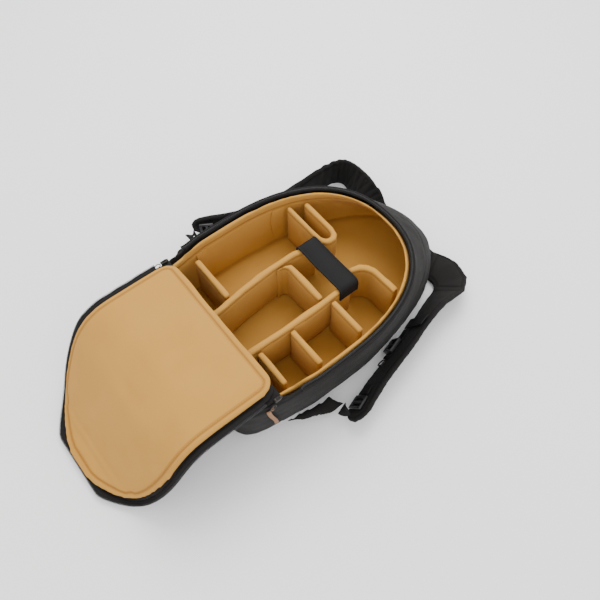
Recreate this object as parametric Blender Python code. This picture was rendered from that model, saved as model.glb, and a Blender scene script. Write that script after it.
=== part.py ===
"""An open camera backpack that lies on its back, with its front flap folded down over its lower end.

The padded tub lies flat and opens upwards. +Y runs along the bag to its top end, +X is one side
of it, called near, and +Z is up from the floor to the opening. The origin is on the floor, under
the middle of the back. Lengths are in metres.
"""

import math

import bmesh
import bpy
from mathutils import Vector

# Overall sizes of the bag
BACK_LENGTH = 0.512
BACK_HALF_WIDTH = 0.166
BAG_DEPTH = 0.135
SILL_LENGTH = 0.078
OPENING_LENGTH = 0.347

# Fabric, foam and clearances
SHELL_WALL = 0.0065
LINING_WALL = 0.010
LINING_FLOOR = 0.008
LINING_STANDS_PROUD = 0.004
LINING_ROUND_OVER = 0.005
LINING_RISE_RUN = 0.050
BACK_PAD_THICKNESS = 0.0135
BACK_PAD_MARGIN = 0.004
BACK_PAD_EASE = 0.010
SILL_THICKNESS = 0.004
SILL_EASE = 0.0025
FIT_GAP = 0.0004
LINING_GAP = 0.0012
SEAT_GAP = 0.0003
SIDE_GAP = 0.0012
FREE_GAP = 0.004

# The zipper round the opening
TAPE_THICKNESS = 0.0012
TAPE_MARGIN = 0.0008
TEETH_WIDTH = 0.0034
TEETH_HEIGHT = 0.0020
ZIPPER_START = 0.006
SLIDER_LENGTH = 0.014
SLIDER_WIDTH = 0.0066
SLIDER_HEIGHT = 0.0045
SLIDER_PAST_HINGE = 0.010
PULL_TOP_DROP = 0.009
PULL_LENGTH = 0.066
PULL_WIDTH = 0.0065
PULL_THICKNESS = 0.0026
PULL_SWAY = 0.012
PULL_PAST_HINGE = 0.030
RING_RADIUS = 0.0052
RING_WIRE = 0.0009

# The flap
FLAP_LENGTH = 0.352
FLAP_HALF_WIDTH = 0.143
FLAP_CORNER = 0.026
FLAP_PAD_THICKNESS = 0.012
FLAP_SHELL_THICKNESS = 0.007
FLAP_SHELL_OVERHANG = 0.006
FLAP_TAPE_WIDTH = 0.009
FLAP_PAD_EASE = 0.005
FLAP_SHELL_EASE = 0.002
FLAP_LEVEL_RUN = 0.112
FLAP_BEND_RUN = 0.080
FLAP_FLOOR_GAP = 0.0006
FLAP_ARCH_START = 0.46
FLAP_ARCH_SHARPNESS = 2.2
FLAP_STEEPEST = 52.0
FLAP_STEPS = 60

# The dividers
DIVIDER_THICKNESS = 0.013
DIVIDER_TOP_BELOW_RIM = 0.009
DIVIDER_END_GAP = 0.0006
TAB_LENGTH = 0.026
TAB_THICKNESS = 0.0035
FAR_DIVIDER_X = -0.034
NEAR_DIVIDER_X = 0.060

# The strap that holds a lens down between the two long dividers
CRADLE_WIDTH = 0.038
CRADLE_THICKNESS = 0.0024
CRADLE_DROP = 0.024
CRADLE_Y = 0.024
CRADLE_END_SHOWS = 0.006

# The harness
STRAP_WIDTH = 0.066
STRAP_THICKNESS = 0.012
STRAP_RINGS_PER_ROW = 2
HARNESS_GAP = 0.0018
WEBBING_WIDTH = 0.022
WEBBING_THICKNESS = 0.0018
WEBBING_RISE = 0.0060
WEBBING_SHORT = 0.0082
WEBBING_OUT = 0.004
WEBBING_LIFT = 0.0055
WEBBING_STEPS = 16
WING_THICKNESS = 0.0035
FAR_WING_REACH = 0.090
NEAR_WING_REACH = 0.027
LOCK_LENGTH = 0.026
LOCK_WIDTH = 0.030
LOCK_THICKNESS = 0.0042
LOCK_BAR = 0.0042
LOCK_FROM_END = 0.30
LOCK_TAB_START = 0.66
LOCK_TAB_STOP = 1.46
LOCK_TAB_THICKNESS = 0.0022

# The chest strap parts on the near shoulder strap
BAND_HALF_SPAN = 0.26
BAND_STEPS = 8
BAND_THICKNESS = 0.0022
BAND_SHARE = 0.78
BAND_PLACE = 7.10
CHEST_WEBBING_WIDTH = 0.018
CHEST_WEBBING_UP = 0.26
BUCKLE_LENGTH = 0.030
BUCKLE_WIDTH = 0.024
BUCKLE_THICKNESS = 0.007
BUCKLE_BAR = 0.004
BUCKLE_PLACE = 8.55
CHEST_RING_RADIUS = 0.0075
CHEST_RING_WIRE = 0.0014
CHEST_RING_PLACE = 9.60
CHEST_WEBBING_START = 7.42
CHEST_WEBBING_STOP = 9.28

# Material name: base colour, roughness
FINISHES = {
    "black_nylon": ((0.024, 0.023, 0.024), 0.85),
    "black_mesh": ((0.017, 0.016, 0.017), 0.92),
    "tan_tricot": ((0.58, 0.36, 0.12), 0.90),
    "black_webbing": ((0.016, 0.016, 0.017), 0.80),
    "black_plastic": ((0.012, 0.012, 0.013), 0.45),
    "dark_metal": ((0.060, 0.055, 0.052), 0.40),
    "brown_leather": ((0.26, 0.13, 0.055), 0.65),
}

# Places worked out from the sizes
BACK_TOP = BACK_LENGTH / 2
BACK_BOTTOM = -BACK_LENGTH / 2
HINGE_Y = BACK_BOTTOM + SILL_LENGTH
OPENING_TOP = HINGE_Y + OPENING_LENGTH
SHELL_BASE = BACK_PAD_THICKNESS + SEAT_GAP
LINING_INSET = SHELL_WALL + LINING_GAP
LINING_BASE = SHELL_BASE + SHELL_WALL + FIT_GAP
DIVIDER_FLOOR = LINING_BASE + LINING_FLOOR + SEAT_GAP
DIVIDER_TOP = BAG_DEPTH - DIVIDER_TOP_BELOW_RIM
LONG_DIVIDER_END = CRADLE_Y + CRADLE_WIDTH / 2 - CRADLE_END_SHOWS
SILL_TOP = BAG_DEPTH + SEAT_GAP + SILL_THICKNESS

# How many points each quarter of the plan outline has, and the shape of its lower half
QUARTER_POINTS = 12
LOW_WIDEST = -0.230
LOW_SHARPNESS = 8.0
LOW_TAPER = 0.12

# The shell from its base to its rim. side is a share of the half width, low of the sill length,
# high of the slope of the top end, widest of the length from the middle to the upper half's
# widest place, and arch is how square the upper half is, 2 being an ellipse.
SHELL_SECTIONS = (
    # height, side, low, high, widest, arch
    (0.00, 0.900, 0.20, 0.075, -0.156, 2.12),
    (0.05, 0.945, 0.07, 0.020, -0.156, 2.14),
    (0.15, 0.968, 0.01, 0.000, -0.154, 2.16),
    (0.34, 0.985, 0.00, 0.120, -0.148, 2.20),
    (0.62, 0.998, 0.00, 0.480, -0.136, 2.26),
    (0.86, 1.002, 0.00, 0.860, -0.124, 2.30),
    (1.00, 1.000, 0.00, 1.000, -0.117, 2.32),
)

# How the long dividers wander across the bag, from the bag's lower end to their own top end
FAR_BOW = (
    # share along, shift as a share of the divider's thickness
    (0.00, 0.30),
    (0.20, 0.30),
    (0.45, -0.45),
    (0.65, -0.78),
    (0.82, -0.78),
    (1.00, -0.15),
)
NEAR_BOW = (
    # share along, shift as a share of the divider's thickness
    (0.00, 0.00),
    (0.25, -0.10),
    (0.50, 0.05),
    (0.75, 0.05),
    (1.00, -0.30),
)

# The short dividers that run straight across a column. along is a share of the half length, drop
# a share of the depth that their tops lie lower than the long ones, and tab says whether one end
# folds down the bag as a tab.
CROSS_DIVIDERS = (
    # name, column, along, drop, tab
    ("cross_divider_far_low", "far", -0.543, 0.028, False),
    ("cross_divider_middle", "middle", -0.094, 0.022, True),
    ("cross_divider_near_low", "near", -0.625, 0.022, False),
    ("cross_divider_near_mid", "near", -0.379, 0.016, False),
    ("cross_divider_near_high", "near", -0.047, 0.016, False),
)
UPPER_DIVIDER_DROP = 0.022
FOLDED_LOW = 0.196
FOLDED_HIGH = 0.310
BENT_ALONG = 0.322
BENT_TIP_ALONG = 0.178

# The cradle strap across the gap: how far along it and how its height changes
CRADLE_SAG = (
    # share across, drop as a share of the strap's thickness
    (0.10, 0.00),
    (0.30, 0.25),
    (0.50, 0.50),
    (0.70, 0.25),
    (0.90, 0.00),
)

# Each shoulder strap's lower edge on the floor, from its root to its free end. across is a share
# of the half width, along of the half length, tilt turns the strap from flat to standing on its
# edge, and width is a share of the strap's width.
FAR_STRAP = (
    # across, along, tilt, width
    (-0.030, 0.742, 0.0, 1.00),
    (-0.270, 0.746, 0.0, 1.00),
    (-0.482, 0.754, 3.0, 1.00),
    (-0.627, 0.775, 14.0, 1.00),
    (-0.759, 0.812, 34.0, 1.00),
    (-0.904, 0.866, 58.0, 1.00),
    (-1.036, 0.905, 76.0, 1.00),
    (-1.127, 0.898, 84.0, 1.00),
    (-1.187, 0.840, 88.0, 1.00),
    (-1.212, 0.750, 90.0, 1.00),
    (-1.214, 0.640, 90.0, 1.00),
    (-1.205, 0.525, 90.0, 0.98),
    (-1.207, 0.420, 90.0, 0.96),
    (-1.225, 0.305, 90.0, 0.93),
    (-1.262, 0.184, 90.0, 0.90),
    (-1.313, 0.066, 90.0, 0.86),
    (-1.380, -0.035, 90.0, 0.82),
    (-1.464, -0.133, 90.0, 0.78),
    (-1.550, -0.226, 90.0, 0.74),
)
NEAR_STRAP = (
    # across, along, tilt, width
    (0.030, 0.742, 0.0, 1.00),
    (0.270, 0.744, 0.0, 1.00),
    (0.456, 0.752, 1.0, 1.00),
    (0.578, 0.780, 8.0, 1.00),
    (0.670, 0.776, 24.0, 1.00),
    (0.725, 0.716, 42.0, 1.00),
    (0.780, 0.594, 55.0, 1.00),
    (0.866, 0.430, 60.0, 0.99),
    (0.942, 0.273, 61.0, 0.98),
    (0.998, 0.141, 61.0, 0.97),
    (1.042, 0.004, 60.0, 0.95),
    (1.084, -0.105, 58.0, 0.92),
    (1.127, -0.203, 55.0, 0.89),
    (1.170, -0.290, 52.0, 0.86),
)

# Each cloth wing from the bag's lower side to its webbing. reach is a share of the wing's reach,
# low and high are where its two edges lie along the bag as shares of the half length, and height
# is a share of the bag's depth.
FAR_WING = (
    # reach, low, high, height
    (0.00, -0.760, -0.350, 0.20),
    (0.35, -0.720, -0.355, 0.17),
    (0.75, -0.640, -0.345, 0.13),
    (1.00, -0.500, -0.335, 0.12),
)
NEAR_WING = (
    # reach, low, high, height
    (0.00, -0.700, -0.370, 0.20),
    (0.40, -0.600, -0.365, 0.19),
    (1.00, -0.430, -0.320, 0.16),
)


def make_materials():
    """One Principled material for each finish."""
    made = {}
    for name, (colour, roughness) in FINISHES.items():
        material = bpy.data.materials.new(name)
        material.use_nodes = True
        shader = material.node_tree.nodes["Principled BSDF"]
        shader.inputs["Base Color"].default_value = (*colour, 1.0)
        shader.inputs["Roughness"].default_value = roughness
        shader.inputs["Metallic"].default_value = 1.0 if name == "dark_metal" else 0.0
        made[name] = material
    return made


def clear_scene():
    """Remove whatever the scene starts with."""
    for thing in list(bpy.data.objects):
        bpy.data.objects.remove(thing)


def finish(name, shape, material):
    """Weld, orient and link a bmesh as one named object."""
    bmesh.ops.remove_doubles(shape, verts=shape.verts, dist=0.00001)
    bmesh.ops.recalc_face_normals(shape, faces=shape.faces)
    mesh = bpy.data.meshes.new(name)
    shape.to_mesh(mesh)
    shape.free()
    mesh.materials.append(material)
    mesh.shade_smooth()
    mesh.set_sharp_from_angle(angle=math.radians(40))
    made = bpy.data.objects.new(name, mesh)
    bpy.context.scene.collection.objects.link(made)
    return made


def loft(rings, closed=False):
    """A bmesh through rings of points, capped at both ends unless the run is closed."""
    shape = bmesh.new()
    rows = [[shape.verts.new(point) for point in ring] for ring in rings]
    count = len(rows[0])
    pairs = list(zip(rows, rows[1:]))
    if closed:
        pairs.append((rows[-1], rows[0]))
    for lower, upper in pairs:
        for i in range(count):
            j = (i + 1) % count
            shape.faces.new((lower[i], lower[j], upper[j], upper[i]))
    if not closed:
        shape.faces.new(list(reversed(rows[0])))
        shape.faces.new(rows[-1])
    return shape


def skin(name, rings, material, closed=False):
    """A closed body through rings of points."""
    return finish(name, loft(rings, closed), material)


def keep_below_y(shape, place):
    """Cut a bmesh straight across the bag, and keep and close what lies towards its lower end."""
    everything = shape.verts[:] + shape.edges[:] + shape.faces[:]
    cut = bmesh.ops.bisect_plane(
        shape,
        geom=everything,
        plane_co=(0, place, 0),
        plane_no=(0, 1, 0),
        clear_outer=True,
    )
    edges = [item for item in cut["geom_cut"] if isinstance(item, bmesh.types.BMEdge)]
    bmesh.ops.contextual_create(shape, geom=edges)


def blend(a, b, share):
    """The value a share of the way from a to b."""
    return a + (b - a) * share


def ease(share):
    """A smooth step from 0 to 1."""
    share = min(1.0, max(0.0, share))
    return share * share * (3 - 2 * share)


def read_table(table, place, column):
    """A column of a table, read at a place along its first column."""
    for here, after in zip(table, table[1:]):
        if place <= after[0]:
            share = (place - here[0]) / (after[0] - here[0])
            return blend(here[column], after[column], share)
    return table[-1][column]


def curve_through(rows, place):
    """A row read at a place along a table of rows, on a smooth curve through all of them."""
    i = min(int(place), len(rows) - 2)
    t = place - i
    before = rows[max(i - 1, 0)]
    here, after = rows[i], rows[i + 1]
    beyond = rows[min(i + 2, len(rows) - 1)]
    found = []
    for a, b, c, d in zip(before, here, after, beyond):
        straight = 2 * b + (c - a) * t
        bend = (2 * a - 5 * b + 4 * c - d) * t**2 + (3 * b - a - 3 * c + d) * t**3
        found.append(0.5 * (straight + bend))
    return found


def low_corner(share):
    """A point of a nearly square quarter, a share of the way from its side to its end."""
    corner = 0.5 ** (1 / LOW_SHARPNESS)
    if share <= 0.5:
        down = corner * math.sin(math.pi * share)
        return (1 - down**LOW_SHARPNESS) ** (1 / LOW_SHARPNESS), down
    across = corner * math.sin(math.pi * (1 - share))
    return across, (1 - across**LOW_SHARPNESS) ** (1 / LOW_SHARPNESS)


def plan_outline(height, inset=0.0):
    """The bag's outline seen from above at a share of the shell's height, drawn in by an inset."""
    side = BACK_HALF_WIDTH * read_table(SHELL_SECTIONS, height, 1) - inset
    bottom = BACK_BOTTOM + read_table(SHELL_SECTIONS, height, 2) * SILL_LENGTH + inset
    top = BACK_TOP - read_table(SHELL_SECTIONS, height, 3) * (BACK_TOP - OPENING_TOP) - inset
    widest = BACK_LENGTH * read_table(SHELL_SECTIONS, height, 4)
    arch = read_table(SHELL_SECTIONS, height, 5)
    widest_low = BACK_LENGTH * LOW_WIDEST
    upper = []
    lower = []
    for i in range(QUARTER_POINTS + 1):
        turn = math.pi / 2 * i / QUARTER_POINTS
        out, up = max(math.cos(turn), 0.0), math.sin(turn)
        upper.append((side * out ** (2 / arch), widest + (top - widest) * up ** (2 / arch)))
        across, down = low_corner(i / QUARTER_POINTS)
        across *= 1 - LOW_TAPER * down
        lower.append((side * across, widest_low - (widest_low - bottom) * down))
    far_upper = [(-x, y) for x, y in reversed(upper[:-1])]
    far_lower = [(-x, y) for x, y in lower]
    return upper + far_upper + far_lower + list(reversed(lower[:-1]))


def lift(outline, height):
    """An outline as points at one height."""
    return [Vector((x, y, height)) for x, y in outline]


def shell_height(share):
    """The height above the floor of a share of the shell's depth."""
    return SHELL_BASE + (BAG_DEPTH - SHELL_BASE) * share


def share_of(height):
    """The share of the shell's depth that a height above the floor stands for."""
    return (height - SHELL_BASE) / (BAG_DEPTH - SHELL_BASE)


def wall_at(y, height, inset=0.0):
    """How far from the middle the bag's side stands at a place along it and a height."""
    outline = plan_outline(share_of(height), inset)
    side = sorted((point for point in outline if point[0] >= 0), key=lambda point: point[1])
    for here, after in zip(side, side[1:]):
        if here[1] <= y <= after[1] and after[1] > here[1]:
            return blend(here[0], after[0], (y - here[1]) / (after[1] - here[1]))
    return 0.0


def make_shell(materials):
    """The black outer tub: base, sides and the sloping top end, open upwards."""
    shares = [row[0] for row in SHELL_SECTIONS]
    rings = [lift(plan_outline(share), shell_height(share)) for share in shares]
    inside = [share for share in reversed(shares) if shell_height(share) > LINING_BASE + LINING_FLOOR]
    rings += [lift(plan_outline(share, SHELL_WALL), shell_height(share)) for share in inside]
    floor = SHELL_BASE + SHELL_WALL
    rings.append(lift(plan_outline(share_of(floor), SHELL_WALL * 1.6), floor))
    skin("outer_shell", rings, materials["black_nylon"])


def lining_top(y):
    """The lining's rim: proud of the shell round the opening, and tucked under the sill."""
    tucked = BAG_DEPTH - SEAT_GAP
    return blend(tucked, BAG_DEPTH + LINING_STANDS_PROUD, ease((y - HINGE_Y) / LINING_RISE_RUN))


def make_lining(materials):
    """The tan padded tub inside the shell."""
    inner_inset = LINING_INSET + LINING_WALL
    floor = LINING_BASE + LINING_FLOOR
    inside = [row[0] for row in SHELL_SECTIONS if shell_height(row[0]) > floor and row[0] < 1.0]
    rings = [lift(plan_outline(share_of(LINING_BASE), SHELL_WALL * 2), LINING_BASE)]
    rings += [lift(plan_outline(share, LINING_INSET), shell_height(share)) for share in inside]
    round_over = (
        # share of the wall, drop below the rim as a share
        (0.00, 1.00),
        (0.20, 0.25),
        (0.50, 0.00),
        (0.80, 0.25),
        (1.00, 1.00),
    )
    for share, drop in round_over:
        outline = plan_outline(1.0, LINING_INSET + LINING_WALL * share)
        rings.append([Vector((x, y, lining_top(y) - drop * LINING_ROUND_OVER)) for x, y in outline])
    rings += [lift(plan_outline(share, inner_inset), shell_height(share)) for share in reversed(inside)]
    rings.append(lift(plan_outline(share_of(floor), inner_inset), floor))
    skin("padded_lining", rings, materials["tan_tricot"])


def make_back_pad(materials):
    """The padded back panel under the shell, which the bag lies on."""
    rings = []
    sections = ((0.0, BACK_PAD_EASE), (0.3, BACK_PAD_EASE * 0.3), (1.0, 0.0))
    for share, inset in sections:
        outline = plan_outline(0.0, BACK_PAD_MARGIN + inset)
        rings.append(lift(outline, BACK_PAD_THICKNESS * share))
    shape = loft(rings)
    keep_below_y(shape, FAR_STRAP[0][1] * BACK_TOP - BACK_PAD_EASE)
    finish("back_pad", shape, materials["black_mesh"])


def make_sill(materials):
    """The fixed lower end of the bag's front, which the flap folds back over."""
    base = BAG_DEPTH + SEAT_GAP
    rings = [
        lift(plan_outline(1.0), base),
        lift(plan_outline(1.0), base + SILL_THICKNESS * 0.6),
        lift(plan_outline(1.0, SILL_EASE), SILL_TOP),
    ]
    shape = loft(rings)
    keep_below_y(shape, HINGE_Y)
    finish("front_sill", shape, materials["black_nylon"])


def opening_path(inset, kept):
    """The opening's edge from the near end of the hinge, round the top, to the far end."""
    outline = plan_outline(1.0, inset)
    return [outline[i] for i in kept]


def opening_points():
    """The places in the plan outline that lie beyond the hinge, in order round the opening."""
    outline = plan_outline(1.0)
    first_near = 3 * QUARTER_POINTS + 2
    order = list(range(first_near, len(outline))) + list(range(first_near))
    return [i for i in order if outline[i][1] > HINGE_Y + ZIPPER_START]


def make_opening_band(name, centre, half, low, high, material):
    """A flat band that follows the opening's edge at a distance in from it."""
    kept = opening_points()
    inner = opening_path(centre + half, kept)
    outer = opening_path(centre - half, kept)
    rings = []
    for (ax, ay), (bx, by) in zip(inner, outer):
        rings.append(
            [
                Vector((ax, ay, low)),
                Vector((bx, by, low)),
                Vector((bx, by, high)),
                Vector((ax, ay, high)),
            ]
        )
    skin(name, rings, material)


def make_opening_zipper(materials):
    """The zipper tape on the shell's edge, and the row of teeth along it."""
    low = BAG_DEPTH + SEAT_GAP
    high = low + TAPE_THICKNESS
    middle = SHELL_WALL / 2
    half = middle - TAPE_MARGIN
    make_opening_band("opening_zipper_tape", middle, half, low, high, materials["black_webbing"])
    low = high + SEAT_GAP
    high = low + TEETH_HEIGHT
    half = TEETH_WIDTH / 2
    make_opening_band("opening_zipper_teeth", middle, half, low, high, materials["black_plastic"])


def flap_slope(run):
    """How steeply the flap falls, in radians, a run of metres from its hinge."""
    into = ease((run - FLAP_LEVEL_RUN) / FLAP_BEND_RUN)
    out = ease((FLAP_LENGTH - run) / FLAP_BEND_RUN)
    return math.radians(FLAP_STEEPEST) * into * out


def flap_spine():
    """Points down the middle of the flap's outer face, from the hinge to its free end."""
    top = SILL_TOP + SEAT_GAP
    drops = [0.0]
    runs = [0.0]
    step = FLAP_LENGTH / FLAP_STEPS
    for i in range(FLAP_STEPS):
        slope = flap_slope(step * (i + 0.5))
        drops.append(drops[-1] + math.sin(slope) * step)
        runs.append(runs[-1] + math.cos(slope) * step)
    reach = (top - FLAP_FLOOR_GAP) / drops[-1]
    return [Vector((0, HINGE_Y - run, top - drop * reach)) for run, drop in zip(runs, drops)]


def flap_frame(spine, run):
    """A point of the flap's outer face at a run from the hinge, and the direction out of it."""
    place = min(max(run / FLAP_LENGTH, 0.0), 1.0) * FLAP_STEPS
    i = min(int(place), FLAP_STEPS - 1)
    point = spine[i].lerp(spine[i + 1], place - i)
    along = (spine[min(i + 2, FLAP_STEPS)] - spine[max(i - 1, 0)]).normalized()
    return point, Vector((0, along.z, -along.y))


def flap_half_width(run, extra=0.0):
    """Half the flap's width at a run from its hinge: rounded corners, then the arch of its end."""
    side = FLAP_HALF_WIDTH + extra
    if run < FLAP_CORNER:
        return side - FLAP_CORNER + math.sqrt(FLAP_CORNER**2 - (FLAP_CORNER - run) ** 2)
    start = FLAP_LENGTH * FLAP_ARCH_START
    if run <= start:
        return side
    along = min((run - start) / (FLAP_LENGTH + extra - start), 1.0)
    return side * (1 - along**FLAP_ARCH_SHARPNESS) ** (1 / FLAP_ARCH_SHARPNESS)


def flap_runs():
    """Where the flap's cross-sections stand: close together at both rounded ends."""
    corner = [FLAP_CORNER * share for share in (0.02, 0.12, 0.35, 0.65, 1.0)]
    body = [blend(FLAP_CORNER, FLAP_LENGTH, share / 20) for share in range(1, 15)]
    arch = [FLAP_LENGTH * share for share in (0.78, 0.83, 0.88, 0.92, 0.955, 0.98, 0.994)]
    return corner + body + arch


def flap_slab(name, low, high, extra, edge, material):
    """A sheet of the flap between two heights over its outer face, with eased edges."""
    spine = flap_spine()
    middle = (low + high) / 2
    rings = []
    for run in flap_runs():
        point, out = flap_frame(spine, run)
        side = flap_half_width(run, extra)
        inner = side - min(edge, side * 0.5)
        section = (
            (-inner, low),
            (inner, low),
            (side, middle),
            (inner, high),
            (0.0, high),
            (-inner, high),
            (-side, middle),
        )
        rings.append([point + Vector((x, 0, 0)) + out * height for x, height in section])
    skin(name, rings, material)


def make_flap(materials):
    """The front flap: its black outer face, its tan padded inside and the zipper at its edge."""
    nylon = materials["black_nylon"]
    flap_slab("flap_shell", 0.0, FLAP_SHELL_THICKNESS, FLAP_SHELL_OVERHANG, FLAP_SHELL_EASE, nylon)
    low = FLAP_SHELL_THICKNESS + SEAT_GAP
    high = low + FLAP_PAD_THICKNESS
    flap_slab("flap_pad", low, high, 0.0, FLAP_PAD_EASE, materials["tan_tricot"])
    make_flap_zipper(materials, low)


def make_flap_zipper(materials, low):
    """The flap's half of the zipper, a tape that stands out round its edge."""
    spine = flap_spine()
    runs = [run for run in flap_runs() if run > FLAP_CORNER / 2]
    sides = [(1, run) for run in runs] + [(-1, run) for run in reversed(runs)]
    high = low + TAPE_THICKNESS
    rings = []
    for side, run in sides:
        point, out = flap_frame(spine, run)
        inner = flap_half_width(run, FIT_GAP)
        outer = flap_half_width(run, FLAP_TAPE_WIDTH)
        corners = ((inner, low), (outer, low), (outer, high), (inner, high))
        rings.append([point + Vector((side * x, 0, 0)) + out * height for x, height in corners])
    skin("flap_zipper_tape", rings, materials["black_webbing"])


def slab_along(name, path, low, high, material, soften):
    """An upright padded wall along a path in plan of (x, y, thickness), with its top rounded."""
    left = []
    right = []
    for i, (x, y, thickness) in enumerate(path):
        here = Vector((x, y))
        before = Vector(path[max(i - 1, 0)][:2])
        after = Vector(path[min(i + 1, len(path) - 1)][:2])
        into = (here - before).normalized() if i > 0 else (after - here).normalized()
        out = (after - here).normalized() if i < len(path) - 1 else into
        bisector = (into + out).normalized()
        across = Vector((-bisector.y, bisector.x))
        reach = thickness / 2 / max(across.dot(Vector((-into.y, into.x))), 0.5)
        left.append(here + across * reach)
        right.append(here - across * reach)
    outline = right + left[::-1]
    shape = bmesh.new()
    base = [shape.verts.new((point.x, point.y, low)) for point in outline]
    raised = bmesh.ops.extrude_face_region(shape, geom=[shape.faces.new(base)])
    tops = [item for item in raised["geom"] if isinstance(item, bmesh.types.BMVert)]
    bmesh.ops.translate(shape, verts=tops, vec=(0, 0, high - low))
    shape.normal_update()
    rim = [edge for edge in shape.edges if all(vert in tops for vert in edge.verts)]
    bmesh.ops.bevel(
        shape, geom=rim, offset=soften, segments=2, profile=0.5, affect="EDGES", material=-1
    )
    return finish(name, shape, material)


def long_divider_start():
    """Where the long dividers begin, against the lining at the bag's lower end."""
    return BACK_BOTTOM + LINING_INSET + LINING_WALL + FREE_GAP


def divider_x(middle, bow, y):
    """A long divider's place across the bag at a place along it."""
    start = long_divider_start()
    share = (y - start) / (LONG_DIVIDER_END - start)
    return middle + DIVIDER_THICKNESS * read_table(bow, min(max(share, 0.0), 1.0), 1)


def far_divider_x(y):
    """Where the middle of the far long divider stands at a place along the bag."""
    return divider_x(FAR_DIVIDER_X, FAR_BOW, y)


def near_divider_x(y):
    """Where the middle of the near long divider stands at a place along the bag."""
    return divider_x(NEAR_DIVIDER_X, NEAR_BOW, y)


def make_long_dividers(materials):
    """The two long dividers that run up the bag from under the sill."""
    start = long_divider_start()
    soften = DIVIDER_THICKNESS / 4
    for name, across in (("long_divider_far", far_divider_x), ("long_divider_near", near_divider_x)):
        path = []
        for i in range(13):
            y = blend(start, LONG_DIVIDER_END, i / 12)
            path.append((across(y), y, DIVIDER_THICKNESS * (0.7 if i == 12 else 1.0)))
        slab_along(name, path, DIVIDER_FLOOR, DIVIDER_TOP, materials["tan_tricot"], soften)


def tightest_wall(y, half):
    """The least distance from the middle to the lining over a divider's height and thickness."""
    inset = LINING_INSET + LINING_WALL
    heights = (DIVIDER_FLOOR, blend(DIVIDER_FLOOR, DIVIDER_TOP, 0.5), DIVIDER_TOP)
    places = (y - half, y, y + half)
    return min(wall_at(place, height, inset) for place in places for height in heights)


def column_ends(column, y):
    """Where a cross divider of a column starts and ends across the bag."""
    half = DIVIDER_THICKNESS / 2
    wall = tightest_wall(y, half) - DIVIDER_END_GAP
    places = (y - half, y, y + half)
    far_low = min(far_divider_x(place) for place in places) - half - DIVIDER_END_GAP
    far_high = max(far_divider_x(place) for place in places) + half + DIVIDER_END_GAP
    near_low = min(near_divider_x(place) for place in places) - half - DIVIDER_END_GAP
    near_high = max(near_divider_x(place) for place in places) + half + DIVIDER_END_GAP
    ends = {"far": (-wall, far_low), "middle": (far_high, near_low), "near": (near_high, wall)}
    return ends[column]


def make_cross_dividers(materials):
    """The short dividers that run straight across a column."""
    tan = materials["tan_tricot"]
    for name, column, along, drop, tab in CROSS_DIVIDERS:
        y = along * BACK_TOP
        left, right = column_ends(column, y)
        path = [(left, y, DIVIDER_THICKNESS), (right, y, DIVIDER_THICKNESS)]
        if tab:
            end = y - TAB_LENGTH
            foot = far_divider_x(end) + DIVIDER_THICKNESS / 2 + DIVIDER_END_GAP + TAB_THICKNESS / 2
            bend = max(foot, left + TAB_THICKNESS / 2)
            path = [(foot, end, TAB_THICKNESS), (bend, y - DIVIDER_THICKNESS / 2, TAB_THICKNESS)]
            path += [(bend + DIVIDER_THICKNESS / 2, y, DIVIDER_THICKNESS), (right, y, DIVIDER_THICKNESS)]
        soften = TAB_THICKNESS / 3 if tab else DIVIDER_THICKNESS / 4
        slab_along(name, path, DIVIDER_FLOOR, DIVIDER_TOP - drop * BAG_DEPTH, tan, soften)


def make_folded_divider(materials):
    """The divider that is folded back on itself and makes a narrow pocket."""
    half = DIVIDER_THICKNESS / 2
    low = FOLDED_LOW * BACK_TOP
    high = FOLDED_HIGH * BACK_TOP
    fold = FAR_DIVIDER_X + half
    wall_low = -tightest_wall(low, half) + DIVIDER_END_GAP
    wall_high = -tightest_wall(high, half) + DIVIDER_END_GAP
    thick = DIVIDER_THICKNESS * 0.85
    reach = (high - low) / 2
    middle = (low + high) / 2
    path = [(wall_low, low, thick), (fold - reach, low, thick)]
    for turn in (-55, -20, 20, 55):
        angle = math.radians(turn)
        path.append((fold - reach + reach * math.cos(angle), middle + reach * math.sin(angle), thick))
    path += [(fold - reach * 1.3, high, thick), (wall_high, high, thick)]
    top = DIVIDER_TOP - UPPER_DIVIDER_DROP * BAG_DEPTH
    slab_along("folded_divider", path, DIVIDER_FLOOR, top, materials["tan_tricot"], TAB_THICKNESS / 3)


def make_bent_divider(materials):
    """The divider at the top whose free end bends down the bag towards the near long divider."""
    half = DIVIDER_THICKNESS / 2
    y = BENT_ALONG * BACK_TOP
    tip_y = max(BENT_TIP_ALONG * BACK_TOP, LONG_DIVIDER_END + FREE_GAP)
    bend_x = near_divider_x(LONG_DIVIDER_END) - half
    wall = tightest_wall(y, half) - DIVIDER_END_GAP
    thick = DIVIDER_THICKNESS
    path = [
        (wall, y, thick),
        (bend_x + thick * 1.2, y - thick * 0.15, thick),
        (bend_x + thick * 0.2, y - thick * 0.60, thick),
        (bend_x - thick * 0.5, y - thick * 1.40, thick),
        (bend_x - thick * 0.8, tip_y, thick * 0.8),
    ]
    top = DIVIDER_TOP - UPPER_DIVIDER_DROP * BAG_DEPTH
    slab_along("bent_divider", path, DIVIDER_FLOOR, top, materials["tan_tricot"], TAB_THICKNESS / 3)


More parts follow.
